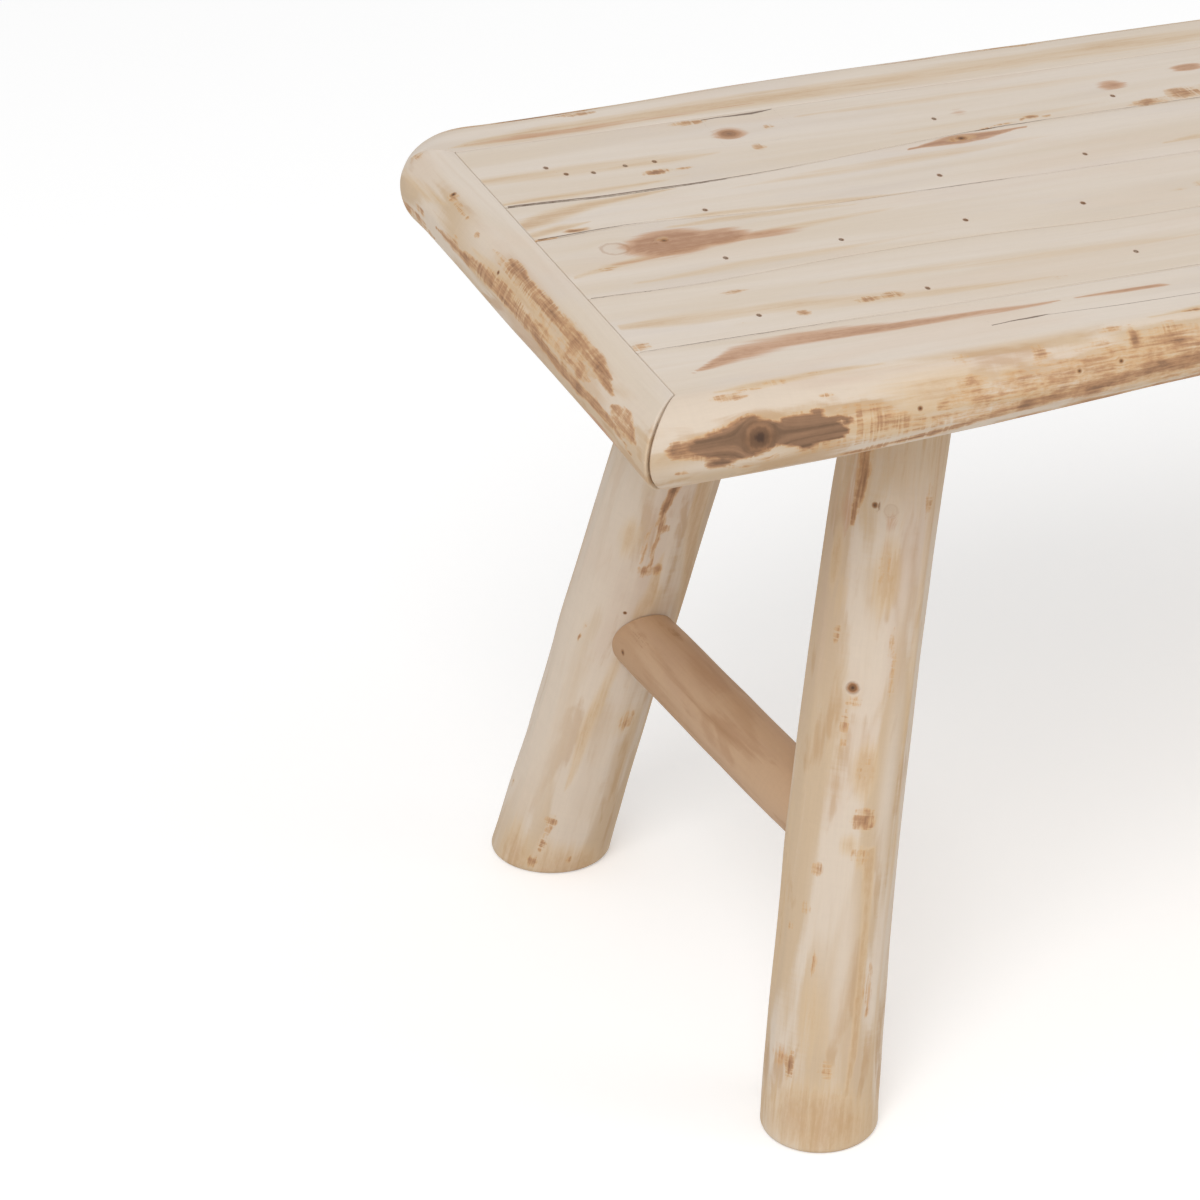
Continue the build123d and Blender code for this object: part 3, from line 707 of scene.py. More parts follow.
frontRailLooks = {
    "flat": 50.0,
    "waist": 6.0,  # narrower halfway along
    "depth": 46.0,
    "arch": 14.0,  # the underside rises halfway along
    "archStart": 547.5,
    "archRun": 380.0,
    "gap": 0.4,
    "mitreStart": 578.0,  # where the mitre leaves the butt line
    "mitreOpen": 2.3,  # how far the dried mitre gapes at the nose
    "steps": {"arris": 0.5, "top": 24, "nose": 42, "under": 12, "inner": 9},
    "step": 2.4,
    "marks": {
        "seed": 11,
        "barkMost": 1.2,
        "knots": [
            (-542.5, 81.5, 9.0, 1.0), (-459, 79.5, 1.5, 1.0), (-373, 72.5, 1.4, 1.0), (-350, 70.5, 1.4, 1.0),
        ],
        "barkSpots": [
            (-553, 58.5, 10, 2.4, 0.75), (-527, 52.5, 8, 2.6, 0.55), (-540, 54, 10, 3, 0.35),
            (-507, 50, 6, 1.6, 0.4), (-432, 56.5, 6, 4.5, 0.5), (-432, 72, 13, 7, 0.55), (-409, 87, 14, 5, 0.6),
            (-397, 83, 8, 5, 0.5), (-391, 60, 5, 6, 0.75), (-388, 74, 9, 6, 0.7), (-350, 51.5, 8, 2, 0.7),
            (-340, 59, 4.5, 8, 1.0), (-321, 63, 10, 11, 0.85), (-303, 47, 7, 1.6, 0.85),
            (-582, 93.5, 4, 1.4, 0.8), (-549, 97, 5, 1.4, 0.7), (-300, 70, 9, 8, 0.6), (-275, 62, 12, 6, 0.5),
            (-505, 66, 4, 1.4, 0.6), (-512, 73.5, 4, 2.6, 1.7), (-503, 78, 6, 2, 1.5), (-497, 80, 4, 1.6, 1.5),
            (-518, 90.5, 5, 2.2, 1.5), (-562, 92, 8, 2.6, 1.7), (-546, 71.5, 6, 2, 1.5), (-527, 75, 4, 2, 1.4),
        ],
        "barkStreaks": [
            (4.0, [
                (-580, 81, 0), (-575, 81, 3), (-566, 82, 5.4), (-556, 82, 8.6), (-548, 81.5, 9.2),
                (-540, 81, 7), (-533, 81, 5), (-527, 81.5, 6.6), (-519, 81.5, 7.8), (-511, 82.5, 6.6),
                (-504, 84, 4.4), (-499, 85, 3), (-496, 85, 0),
            ]),
            (0.95, [(-591, 81, 0), (-587, 81, 4.5), (-574, 81.5, 6), (-562, 83, 8), (-552, 84, 0)]),
            (0.56, [
                (-508, 80, 4), (-498, 80, 8), (-488, 82, 12), (-475, 84, 10), (-460, 86, 5), (-450, 86, 0),
            ]),
            (0.8, [
                (-510, 104, 0), (-484, 101.5, 2.5), (-448, 97, 3), (-423, 91, 4), (-409, 88, 4.5),
                (-390, 85, 5), (-365, 82, 6), (-335, 77, 7), (-310, 75, 6), (-280, 74, 4), (-250, 74, 0),
            ]),
            (0.6, [
                (-440, 103, 0), (-400, 99, 3), (-368, 96.4, 3.5), (-330, 93, 3), (-280, 90, 2.5), (-200, 86, 0),
            ]),
            (0.45, [
                (-450, 80, 3), (-400, 78, 14), (-340, 72, 20), (-280, 74, 20), (-200, 74, 12), (-150, 76, 0),
            ]),
            (0.34, [(-560, 96, 0), (-500, 92, 6), (-440, 88, 8), (-400, 90, 0)]),
        ],
        "tanSpots": [
            (-446, 74, 44, 18, 0.95), (-432, 74, 14, 8, 1.0), (-410, 70, 9, 7, 1.0), (-395, 82, 26, 12, 0.9),
            (-470, 86, 40, 10, 0.9), (-340, 74, 80, 22, 0.95),
        ],
        "tanStreaks": [
            (0.75, [(-562, 54, 0), (-540, 53, 4), (-500, 50, 3), (-460, 52, 0)]),
            (0.8, [(-330, 48, 0), (-300, 46, 3), (-240, 48, 5), (-180, 52, 0)]),
        ],
        "cleanSpots": [
            (-357, 57, 9, 6, 1.0), (-590, 60, 16, 18, 1.0), (-520, 60, 60, 9, 0.9), (-560, 92, 40, 5, 0.9),
        ],
        "redStreaks": [
            (0.9, [
                (-562, 31, 0), (-548, 25, 4.5), (-533, 17, 9.5), (-515, 14, 9.5), (-496, 12.5, 9),
                (-470, 13, 7.5), (-450, 14.5, 6), (-413, 14.5, 4.3), (-385, 15, 3), (-365, 15, 2),
                (-358, 15, 0),
            ]),
            (0.9, [(-354, 14.5, 0), (-345, 14.5, 2), (-320, 15, 2.2), (-305, 15.5, 1.5), (-296, 15.5, 0)]),
        ],
        "checksAndSeamShade": [
            [(-406, 30, 0.3), (-393, 28.5, 0.5), (-380, 28, 0.9), (-371, 27.5, 0.2)],
            [(-371, 28, 0.15), (-330, 30, 0.25), (-250, 31, 0.15)],
        ],
    },
    "otherMarks": scatterMarks(12, (-180, 580), (48, 110), bark=26, tan=8, red=2, knots=3),
    "topMarks": scatterMarks(13, (-180, 570), (5, 42), bark=2, tan=3, red=3, knots=1),
}


def frontRailFlat(x):
    looks = frontRailLooks
    share = np.clip((looks["archStart"] - np.abs(x)) / looks["archRun"], 0, 1)
    wave = (1 - np.cos(np.pi * share)) / 2
    return looks["flat"] - looks["waist"] * wave, looks["depth"] - looks["arch"] * wave


def makeFrontRail():
    looks = frontRailLooks
    end = bench["slatEnd"] - looks["gap"]
    places = stationsAlong(2 * end, looks["step"]) - end
    flat, depth = frontRailFlat(places)
    out, height = railLoops(flat, depth, looks["steps"])
    x = np.repeat(places[:, None], out.shape[1], axis=1)
    beyond = np.where(out > looks["flat"], out - looks["flat"] + looks["mitreStart"] - bench["slatEnd"], 0)
    opening = looks["mitreOpen"] * smooth(out - flat[:, None], -3, 20) * nearEnd(np.abs(x), end, 4)
    x = x + np.sign(x) * (beyond * nearEnd(np.abs(x), end, 70) - opening)
    grid = np.stack([x, bench["fieldFront"] - out, height], axis=2)
    toEnd = (end - np.abs(places))[:, None]
    finishLongRail("frontLogRail", "front_rail", -1, looks, grid, out, flat, toEnd, frontRailFlat)


backRailLooks = {
    "flat": 29.0,
    "belly": 8.0,  # wider halfway along
    "depth": 46.0,
    "bellyStart": 550.5,
    "bellyRun": 190.0,
    "gap": 0.4,
    "corner": (556.5, 145.5),  # centre of the round corner
    "cornerRadius": 48.0,
    "turn": 40.0,  # length of skin given to each round corner
    "steps": {"arris": 0.5, "top": 20, "nose": 42, "under": 10, "inner": 9},
    "step": 2.4,
    "marks": {
        "seed": 23,
        "tanStreaks": [
            (0.78, [
                (-580, 6, 0), (-560, 8, 6), (-520, 11, 10), (-440, 13, 11), (-300, 16, 12), (-140, 18, 12),
                (0, 17, 9), (200, 12, 8), (400, 10, 4), (560, 8, 0),
            ]),
        ],
        "redStreaks": [(0.5, [(-575, 7, 0), (-540, 8, 4), (-480, 8, 4), (-400, 10, 0)])],
        "barkSpots": [(-497, 27, 10, 2.6, 0.75), (-462, 38, 9, 1.8, 0.5), (-505, 29, 12, 3, 0.4)],
        "tanSpots": [(-150, 14, 12, 4, 0.8)],
    },
    "otherMarks": scatterMarks(24, (-560, 575), (36, 104), bark=24, tan=10, red=2, knots=4),
    "topMarks": scatterMarks(25, (-120, 560), (5, 28), bark=3, tan=3, red=2, knots=1),
}


def backRailFlat(x):
    looks = backRailLooks
    x = np.minimum(np.abs(x), looks["corner"][0])
    share = np.clip((looks["bellyStart"] - x) / looks["bellyRun"], 0, 1)
    wave = (1 - np.cos(np.pi * share)) / 2
    return looks["flat"] + looks["belly"] * wave, np.full_like(x, looks["depth"])


# Angle from the back rail's direction at which a circle about the corner meets the mitre
def mitreAngle(radius):
    cornerX, cornerY = backRailLooks["corner"]
    shift = bench["slatEnd"] - cornerX + cornerY - bench["fieldBack"]
    return np.arccos(np.clip(-shift / (radius * math.sqrt(2)), -1, 1)) - np.pi / 4


def makeBackRail():
    looks = backRailLooks
    cornerX, cornerY = looks["corner"]
    end = cornerX + looks["turn"]
    places = stationsAlong(2 * end, looks["step"]) - end
    flat, depth = backRailFlat(places)
    out, height = railLoops(flat, depth, looks["steps"])
    x = np.repeat(places[:, None], out.shape[1], axis=1)
    share = np.clip((np.abs(x) - cornerX) / looks["turn"], 0, 1)
    lift = cornerY - bench["fieldBack"]
    flatHere = looks["flat"] - lift  # flat inside the round corner
    radius = np.maximum(out - lift, flatHere)
    angle = share * mitreAngle(radius)
    roundX, roundY = cornerX + radius * np.sin(angle), cornerY + radius * np.cos(angle)
    innerX = cornerX + share * (bench["slatEnd"] - cornerX)
    within = np.clip(out / looks["flat"], 0, 1)
    sideX = innerX + (roundX - innerX) * within
    sideY = bench["fieldBack"] + (roundY - bench["fieldBack"]) * within
    straight = share <= 0
    px = np.where(straight, np.abs(x), sideX) - looks["gap"] * share * 0.7
    py = np.where(straight, bench["fieldBack"] + out, sideY)
    grid = np.stack([np.sign(x) * px, py, height], axis=2)
    toEnd = (end - np.abs(places))[:, None]
    finishLongRail("backLogRail", "back_rail", 1, looks, grid, out, flat, toEnd, backRailFlat)


endRailLooks = {
    "flat": 4.0,  # at the back corner
    "taper": 3.5,  # and this much less at the front
    "taperRun": 347.0,
    "depth": 46.0,
    "front": -178.5,  # where the mitre starts
    "turn": 18.0,  # length of skin given to the round corner
    "planed": (0.04, 0.74),  # a planed face between these turns of the round, from the top
    "steps": {"arris": 0.5, "top": 5, "nose": 46, "under": 5, "inner": 9},
    "step": 2.2,
    "leftMarks": {
        "seed": 37,
        "barkMost": 0.74,
        "knots": [(98, 17, 1.8, 1.0), (12, 27, 1.4, 1.0)],
        "barkSpots": [
            (96, 18, 6, 3, 0.8), (86, 19, 6, 2, 0.55), (79, 19.5, 6, 2, 0.5), (70, 19.5, 3, 1.6, 0.6),
            (51, 22, 4, 2, 0.5), (157, 18, 9, 4, 0.55), (124, 39, 8, 3.5, 0.6), (80, 36, 7, 2.5, 0.5),
            (70, 33, 6, 2, 0.45),
        ],
        "barkStreaks": [
            (1.0, [
                (-187, 40, 0), (-160, 36, 2.5), (-133, 35.5, 3.8), (-105, 38, 4.2), (-72, 37, 3.8),
                (-50, 34.5, 4), (-15, 33, 5), (6, 33, 5.2), (36, 35, 4), (63, 38, 3), (88, 38, 2.4),
                (100, 39, 0),
            ]),
            (1.1, [
                (-150, 24, 0), (-139, 21.5, 3), (-118, 18.5, 4.6), (-104, 19, 4.2), (-97, 19.5, 5),
                (-76, 18, 4.6), (-62, 19, 3.6), (-40, 19, 4), (-15, 19, 3), (-4, 18, 3.8), (6, 17.5, 2.6),
                (12, 17, 0),
            ]),
            (0.4, [(-130, 26, 0), (-100, 25, 4), (-60, 24, 5), (-20, 22, 4), (20, 21, 3), (30, 20, 0)]),
            (0.6, [(-125, 29, 0), (-110, 29, 3), (-85, 29.5, 2.5), (-60, 29.5, 3), (-40, 29, 0)]),
            (1.1, [(-192, 32, 0), (-182, 30, 3.4), (-171, 28.5, 6), (-160, 29, 5), (-148, 28, 0)]),
        ],
        "tanStreaks": [
            (0.8, [(-140, 34, 0), (-100, 33, 5), (-40, 27, 6), (20, 28, 4), (60, 30, 0)]),
            (0.6, [(90, 22, 0), (120, 28, 6), (160, 30, 4)]),
        ],
        "cleanSpots": [(-150, 8, 60, 12, 1.0), (40, 20, 34, 14, 1.0)],
    },
    "leftOther": scatterMarks(38, (-190, 150), (48, 84), bark=9, tan=4, red=1, knots=1),
    "rightMarks": {
        "seed": 41,
        "barkMost": 0.86,
        "barkStreaks": [
            (1.05, [(-150, 30, 0), (-110, 33, 6), (-60, 31, 4), (-20, 34, 7), (30, 30, 5), (60, 32, 0)]),
            (0.9, [(40, 20, 0), (70, 19, 4), (110, 22, 6), (140, 24, 0)]),
            (0.7, [(-60, 21, 0), (-30, 20, 3), (10, 23, 3), (30, 22, 0)]),
        ],
        "tanStreaks": [(0.8, [(-160, 22, 0), (-90, 25, 6), (0, 26, 5), (80, 28, 0)])],
    },
    "rightOther": scatterMarks(42, (-190, 150), (14, 84), bark=14, tan=5, red=2, knots=2),
}


def endRailFlat(y):
    share = np.clip((backRailLooks["corner"][1] - y) / endRailLooks["taperRun"], 0, 1)
    return endRailLooks["flat"] - endRailLooks["taper"] * share


# roundFrom is where the planed top ends, across the skin
def makeEndRail(side, name, node, marks, roundFrom):
    looks = endRailLooks
    cornerX, cornerY = backRailLooks["corner"]
    half = looks["depth"] / 2
    length, turn = cornerY - looks["front"], looks["turn"]
    places = stationsAlong(length + turn, looks["step"])
    flat = endRailFlat(looks["front"] + places)
    out, height = railLoops(flat, np.full_like(flat, looks["depth"]), looks["steps"])
    along = np.repeat(places[:, None], out.shape[1], axis=1)
    beyond = np.maximum(out - flat[:, None], 0)
    lift = cornerY - bench["fieldBack"]
    inside = np.maximum(lift - out, 0) * nearEnd(along, length, 40)  # the mitre also cuts the flat
    share = np.clip((along - length) / turn, 0, 1)
    innerRadius = backRailLooks["cornerRadius"] - half
    radius = out - looks["flat"] + innerRadius
    angle = np.pi / 2 - share * (np.pi / 2 - mitreAngle(np.maximum(radius, innerRadius)))
    straight = (share <= 0) | (out <= looks["flat"])
    x = np.where(straight, bench["slatEnd"] + out, cornerX + radius * np.sin(angle))
    y = looks["front"] + np.minimum(along, length) - beyond * nearEnd(-along, 0, 60) - inside
    y = np.where(straight, y, cornerY + radius * np.cos(angle))
    grid = np.stack([side * x, y, height], axis=2)
    uneven = railUneven(grid[:, :, [1, 0, 2]], out, flat, marks["seed"], 0.8)
    turned = np.arctan2(beyond, height - (bench["seatTop"] - half))
    start, stop = looks["planed"]
    planedHalf = (stop - start) / 2
    fromMiddle = np.clip(turned - (start + stop) / 2, -planedHalf, planedHalf)
    planed = half * (1 - math.cos(planedHalf) / np.cos(fromMiddle))
    toEnd = np.minimum(places, length + turn - places)[:, None]
    pressed = np.maximum(uneven, planed) * smooth(toEnd, 0, 40) + endRounding(toEnd, 0.9)
    piece = meshFromLoops(name, grid - gridNormals(grid) * pressed[:, :, None])
    points = pointsOf(piece)
    flat = endRailFlat(points[:, 1])
    across = railSkin(np.abs(points[:, 0]) - bench["slatEnd"], points[:, 2], flat, looks["depth"])
    skin = np.stack([points[:, 1], across], axis=1)
    outer = smooth(across, roundFrom, roundFrom + 9)
    dressWood(piece, points[:, [1, 0, 2]], skin, marks, outer, railRun(skin, flat, looks["depth"], side))
    finishPiece(piece, peeledWood, node)


makeFrontRail()
makeBackRail()
for side, word, roundFrom in ((-1, "left", 10), (1, "right", 8)):
    marks = joinMarks(endRailLooks[word + "Marks"], endRailLooks[word + "Other"])
    makeEndRail(side, word + "EndRail", word + "_end_rail", marks, roundFrom)


# Slats

slatLooks = {
    "stations": (0, 60, 140, 220, 300),  # from each end of the slats
    "seams": ((0, 0, 0, 0, 0), (0, -1.5, 4.5, 5, 0), (9, 12, 3, 1, 0), (-13, -17, -15, -6, 0), (0, 0, 0, 0, 0)),
    "gap": 0.24,
    "endGap": 0.3,
    "ease": 0.5,
    "wane": 10.0,
    "step": 2.6,
    "across": 30,
    "nailPocket": 3.8,
    "nailFloor": 447.2,
    "nailTop": 448.6,
    "nailHeight": 448.4,  # nail heads reach above this
    "nailApart": 6.0,  # and their middles are further apart than this
    "nailMouth": (1.1, 1.8),  # half length and half width of the punched hole above each nail head
    "holeShadeAndStain": (1.4, 2.1),  # and of the painted shade in the hole, running out a little as an iron stain round it
    "marks": [
        {
            "seed": 51,
            "barkSpots": [
                (-448, -109, 7, 3, 0.85), (-434, -108, 6, 4.5, 0.75), (-484, -113, 4, 4, 0.6),
                (-505, -77.5, 11, 1.8, 0.6), (-573, -122, 6, 6, 0.6), (-515, -114, 9, 2, 0.4),
                (-350, -118, 9, 2, 0.4),
            ],
            "tanStreaks": [
                (0.7, [(-575, -98, 3), (-540, -100, 9), (-480, -104, 9), (-420, -112, 6), (-330, -118, 0)]),
                (0.6, [(-470, -82, 0), (-400, -86, 6), (-330, -90, 6), (-230, -95, 0)]),
            ],
        },
        {
            "seed": 53,
            "knots": [
                (-543, -7.4, 7.5, 0.22), (-543, -7.4, 1.2, 0.9), (-516, -6, 2.4, 0.8), (-204, -28, 6.5, 1.0),
            ],
            "redSpots": [
                (-514, -10.5, 24, 15, 1.8), (-490, -12, 20, 10, 1.4), (-463, -16, 24, 6, 0.8),
                (-204, -30, 12, 14, 0.9),
            ],
            "redStreaks": [(0.45, [(-560, -24, 0), (-545, -26, 3), (-520, -28, 4), (-500, -24, 0)])],
            "barkSpots": [
                (-516, -3, 5, 1.6, 0.8), (-226, -34, 6, 4.5, 0.65), (-241, -37, 7, 2, 0.5),
                (-556, -30, 8, 2, 0.45),
            ],
            "tanStreaks": [
                (0.85, [
                    (-575, -34, 2), (-556, -29, 4), (-535, -24, 4), (-500, -20, 3), (-460, -14, 5),
                    (-420, -10, 4), (-380, -8, 0),
                ]),
                (0.7, [(-520, 8, 0), (-480, 9, 4), (-430, 6, 4), (-400, 2, 0)]),
                (0.6, [(-560, -52, 0), (-500, -48, 5), (-430, -46, 4), (-380, -44, 0)]),
            ],
        },
        {
            "seed": 57,
            "knots": [(-319, 66, 3, 0.9)],
            "redStreaks": [
                (1.15, [
                    (-352, 61.5, 0), (-338, 63.5, 3), (-322, 65.5, 7), (-306, 66, 5), (-290, 68, 2),
                    (-278, 69, 0),
                ]),
            ],
            "barkSpots": [(-553, 21.5, 8, 2.4, 1.0), (-572, 16, 9, 1.6, 0.7), (-319, 66, 9, 3.5, 0.8)],
            "tanStreaks": [
                (0.95, [(-577, 36, 8), (-562, 42, 9), (-535, 50, 6), (-505, 54, 3.5), (-480, 56, 0)]),
                (0.9, [(-577, 22, 5), (-560, 27, 5), (-540, 30, 0)]),
                (0.7, [(-510, 20, 0), (-480, 17, 3.5), (-440, 13, 3.5), (-400, 9, 3), (-370, 8, 0)]),
                (0.55, [(-470, 45, 0), (-400, 48, 6), (-330, 50, 6), (-250, 55, 0)]),
            ],
        },
        {
            "seed": 59,
            "knots": [(-432, 115, 6, 0.6)],
            "redSpots": [
                (-432, 115, 10, 9, 0.9), (-160, 117, 11, 6, 1.25), (-210, 108, 9, 8, 0.8),
                (-305, 100, 7, 7, 0.55),
            ],
            "barkSpots": [
                (-487, 79, 8, 3.4, 1.05), (-473, 79, 7, 1.4, 0.7), (-447, 137, 11, 2.4, 0.95),
                (-271, 81, 6, 2.4, 0.95), (-289, 77, 7, 1.4, 0.8), (-301, 74, 5, 1.6, 0.6),
                (-200, 78, 15, 6, 0.62), (-178, 84, 12, 9, 0.6), (-160, 84, 14, 9, 0.62),
                (-130, 86, 20, 7, 0.6), (-409, 117, 4, 3, 0.5), (-424, 93, 5, 5, 0.45),
            ],
            "barkStreaks": [(0.8, [(-278, 79, 0), (-271, 82, 1.8), (-262, 79, 0.8), (-255, 78, 0)])],
            "tanStreaks": [
                (0.75, [(-577, 98, 6), (-540, 96, 9), (-480, 94, 8), (-440, 92, 0)]),
                (0.9, [(-577, 66, 2), (-540, 66, 4), (-500, 67, 3), (-470, 70, 0)]),
                (0.6, [(-360, 85, 0), (-320, 84, 5), (-270, 84, 4), (-220, 86, 0)]),
                (0.6, [(-400, 126, 0), (-330, 124, 5), (-250, 122, 6), (-150, 122, 0)]),
            ],
            "checksAndSeamShade": [
                [
                    (-440, 138.5, 0.6), (-430, 139, 0.5), (-420, 138.3, 1.0), (-410, 138, 1.6),
                    (-404, 139, 1.0), (-397, 140, 0.3),
                ],
            ],
        },
    ],
    "otherMarks": [
        scatterMarks(52, (-220, 570), (-122, -68), bark=6, tan=9, red=2, knots=3),
        scatterMarks(54, (-180, 570), (-55, 0), bark=5, tan=9, red=3, knots=3),
        scatterMarks(58, (-230, 570), (12, 60), bark=5, tan=9, red=2, knots=2),
        scatterMarks(60, (-110, 570), (78, 134), bark=6, tan=9, red=3, knots=3),
    ],
    # Slats whose front edge stands back: from, to, how far
    "seamOpen": {2: (-590, -520, 0.7), 3: (-577, -430, 1.2)},
    # Painted shade beside each seam, drawn as a thin dark brown line on the slat's front edge: (along, half
    # width)
    "seamShade": [
        (
            (-577, 0.1), (-540, 0.3), (-500, 0.2), (-440, 0.0), (-300, 0.1), (-250, 0.25), (0, 0.0),
            (300, 0.25), (577, 0.2),
        ),
        (
            (-577, 0.3), (-555, 0.1), (-500, 0.0), (-250, 0.0), (-210, 0.25), (0, 0.0), (200, 0.3),
            (400, 0.0), (577, 0.2),
        ),
        (
            (-577, 0.5), (-545, 0.5), (-510, 0.0), (-400, 0.0), (-340, 0.3), (-300, 0.0), (0, 0.1),
            (300, 0.2), (577, 0.4),
        ),
        (
            (-577, 0.5), (-500, 0.6), (-440, 0.3), (-400, 0.0), (-320, 0.1), (-300, 0.4), (-250, 0.1),
            (-150, 0.3), (100, 0.0), (577, 0.3),
        ),
    ],
}


def seamLine(row, x):
    inward = bench["slatEnd"] - np.abs(x)
    straight = bench["fieldFront"] + row * bench["slatPitch"]
    return straight + smoothLine(np.minimum(inward, 300), slatLooks["stations"], slatLooks["seams"][row])


# Middles of the nail heads, read from the nails themselves
def nailPlaces():
    apart = slatLooks["nailApart"]
    points = np.array([v.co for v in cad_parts["slat_nails"].data.vertices]) * 1000
    tops = points[points[:, 2] > slatLooks["nailHeight"]]
    places = []
    for point in tops:
        if not any(np.hypot(*(point[:2] - p)) < apart for p in places):
            near = tops[np.hypot(tops[:, 0] - point[0], tops[:, 1] - point[1]) < apart]
            places.append((near.min(axis=0)[:2] + near.max(axis=0)[:2]) / 2)
    return places


# Loops of a slat from its edges: a planed top with eased arrises and bevels below
def slatLoops(front, back):
    looks, top = slatLooks, bench["seatTop"]
    ease, wane, low = looks["ease"], looks["wane"], top - bench["slatDepth"]
    bevel = low + wane
    front, back = front[:, None], back[:, None]
    share, under, down = (np.linspace(0, 1, count)[None, :] for count in (looks["across"], 8, 4))
    parts = (
        (front + ease + (back - front - 2 * ease) * share, top),
        (back - ease * 0.25, top - ease * 0.25),
        (back + 0 * down, top - ease + (bevel - top + ease) * down),
        (back - wane * 0.3, low + wane * 0.3),
        (back - wane - (back - front - 2 * wane) * under, low),
        (front + wane * 0.3, low + wane * 0.3),
        (front + 0 * down, bevel + (top - ease - bevel) * down),
        (front + ease * 0.25, top - ease * 0.25),
    )
    y = np.concatenate([across for across, height in parts], axis=1)
    return y, np.concatenate([np.broadcast_to(height, across.shape) for across, height in parts], axis=1)


def makeSlat(row, nails):
    looks, marks = slatLooks, slatLooks["marks"][row]
    end = bench["slatEnd"] - looks["endGap"]
    places = stationsAlong(2 * end, looks["step"]) - end
    front = seamLine(row, places) + looks["gap"] / 2
    if row in looks["seamOpen"]:
        start, stop, most = looks["seamOpen"][row]
        front = front + most * (1 - smooth(places, (start + stop) / 2, stop))
    y, z = slatLoops(front, seamLine(row + 1, places) - looks["gap"] / 2)
    grid = np.stack([np.repeat(places[:, None], y.shape[1], axis=1), y, z], axis=2)
    uneven = 0.1 * (1 + drift(grid.reshape(-1, 3), (170, 30, 30), marks["seed"])).reshape(y.shape)
    pressed = uneven + endRounding((end - np.abs(places))[:, None], 0.6)
    piece = meshFromLoops(f"slat{row + 1}", grid - gridNormals(grid) * pressed[:, :, None])
    half, floor, top = looks["nailPocket"] / 2, looks["nailFloor"], looks["nailTop"]
    mine = [(px, py) for px, py in nails if seamLine(row, px) < py < seamLine(row + 1, px)]
    boxes = [((px - half, py - half, floor), (px + half, py + half, top)) for px, py in mine]
    mouths = ovalCutter("mouths", mine, looks["nailMouth"], top - 0.2, bench["seatTop"] + 3)
    cutAway(piece, [boxCutter("pockets", boxes), mouths])
    points = pointsOf(piece)
    # Painted shade along this slat's front edge beside its seam, drawn as a path in the dark crack colour
    shadePlaces = np.arange(-576.0, 577.0, 12.0)
    shadeWidths = np.interp(shadePlaces, *zip(*looks["seamShade"][row]))
    seam = list(zip(shadePlaces, np.interp(shadePlaces, places, front) + 0.6, shadeWidths))
    # Painted shade in each nail hole in a knot's dark colours, with a little iron stain round the mouth
    holeShadesAndStains = [(px, py, looks["holeShadeAndStain"], 0.75) for px, py in mine]
    marks = joinMarks(marks, looks["otherMarks"][row], {"checksAndSeamShade": [seam], "holeShadesAndStains": holeShadesAndStains})
    dressWood(piece, points, points[:, :2], marks, 0)
    finishPiece(piece, peeledWood, f"slat_{row + 1}")


nails = nailPlaces()
print("nails found:", len(nails))
for row in range(4):
    makeSlat(row, nails)


# Legs and stretchers

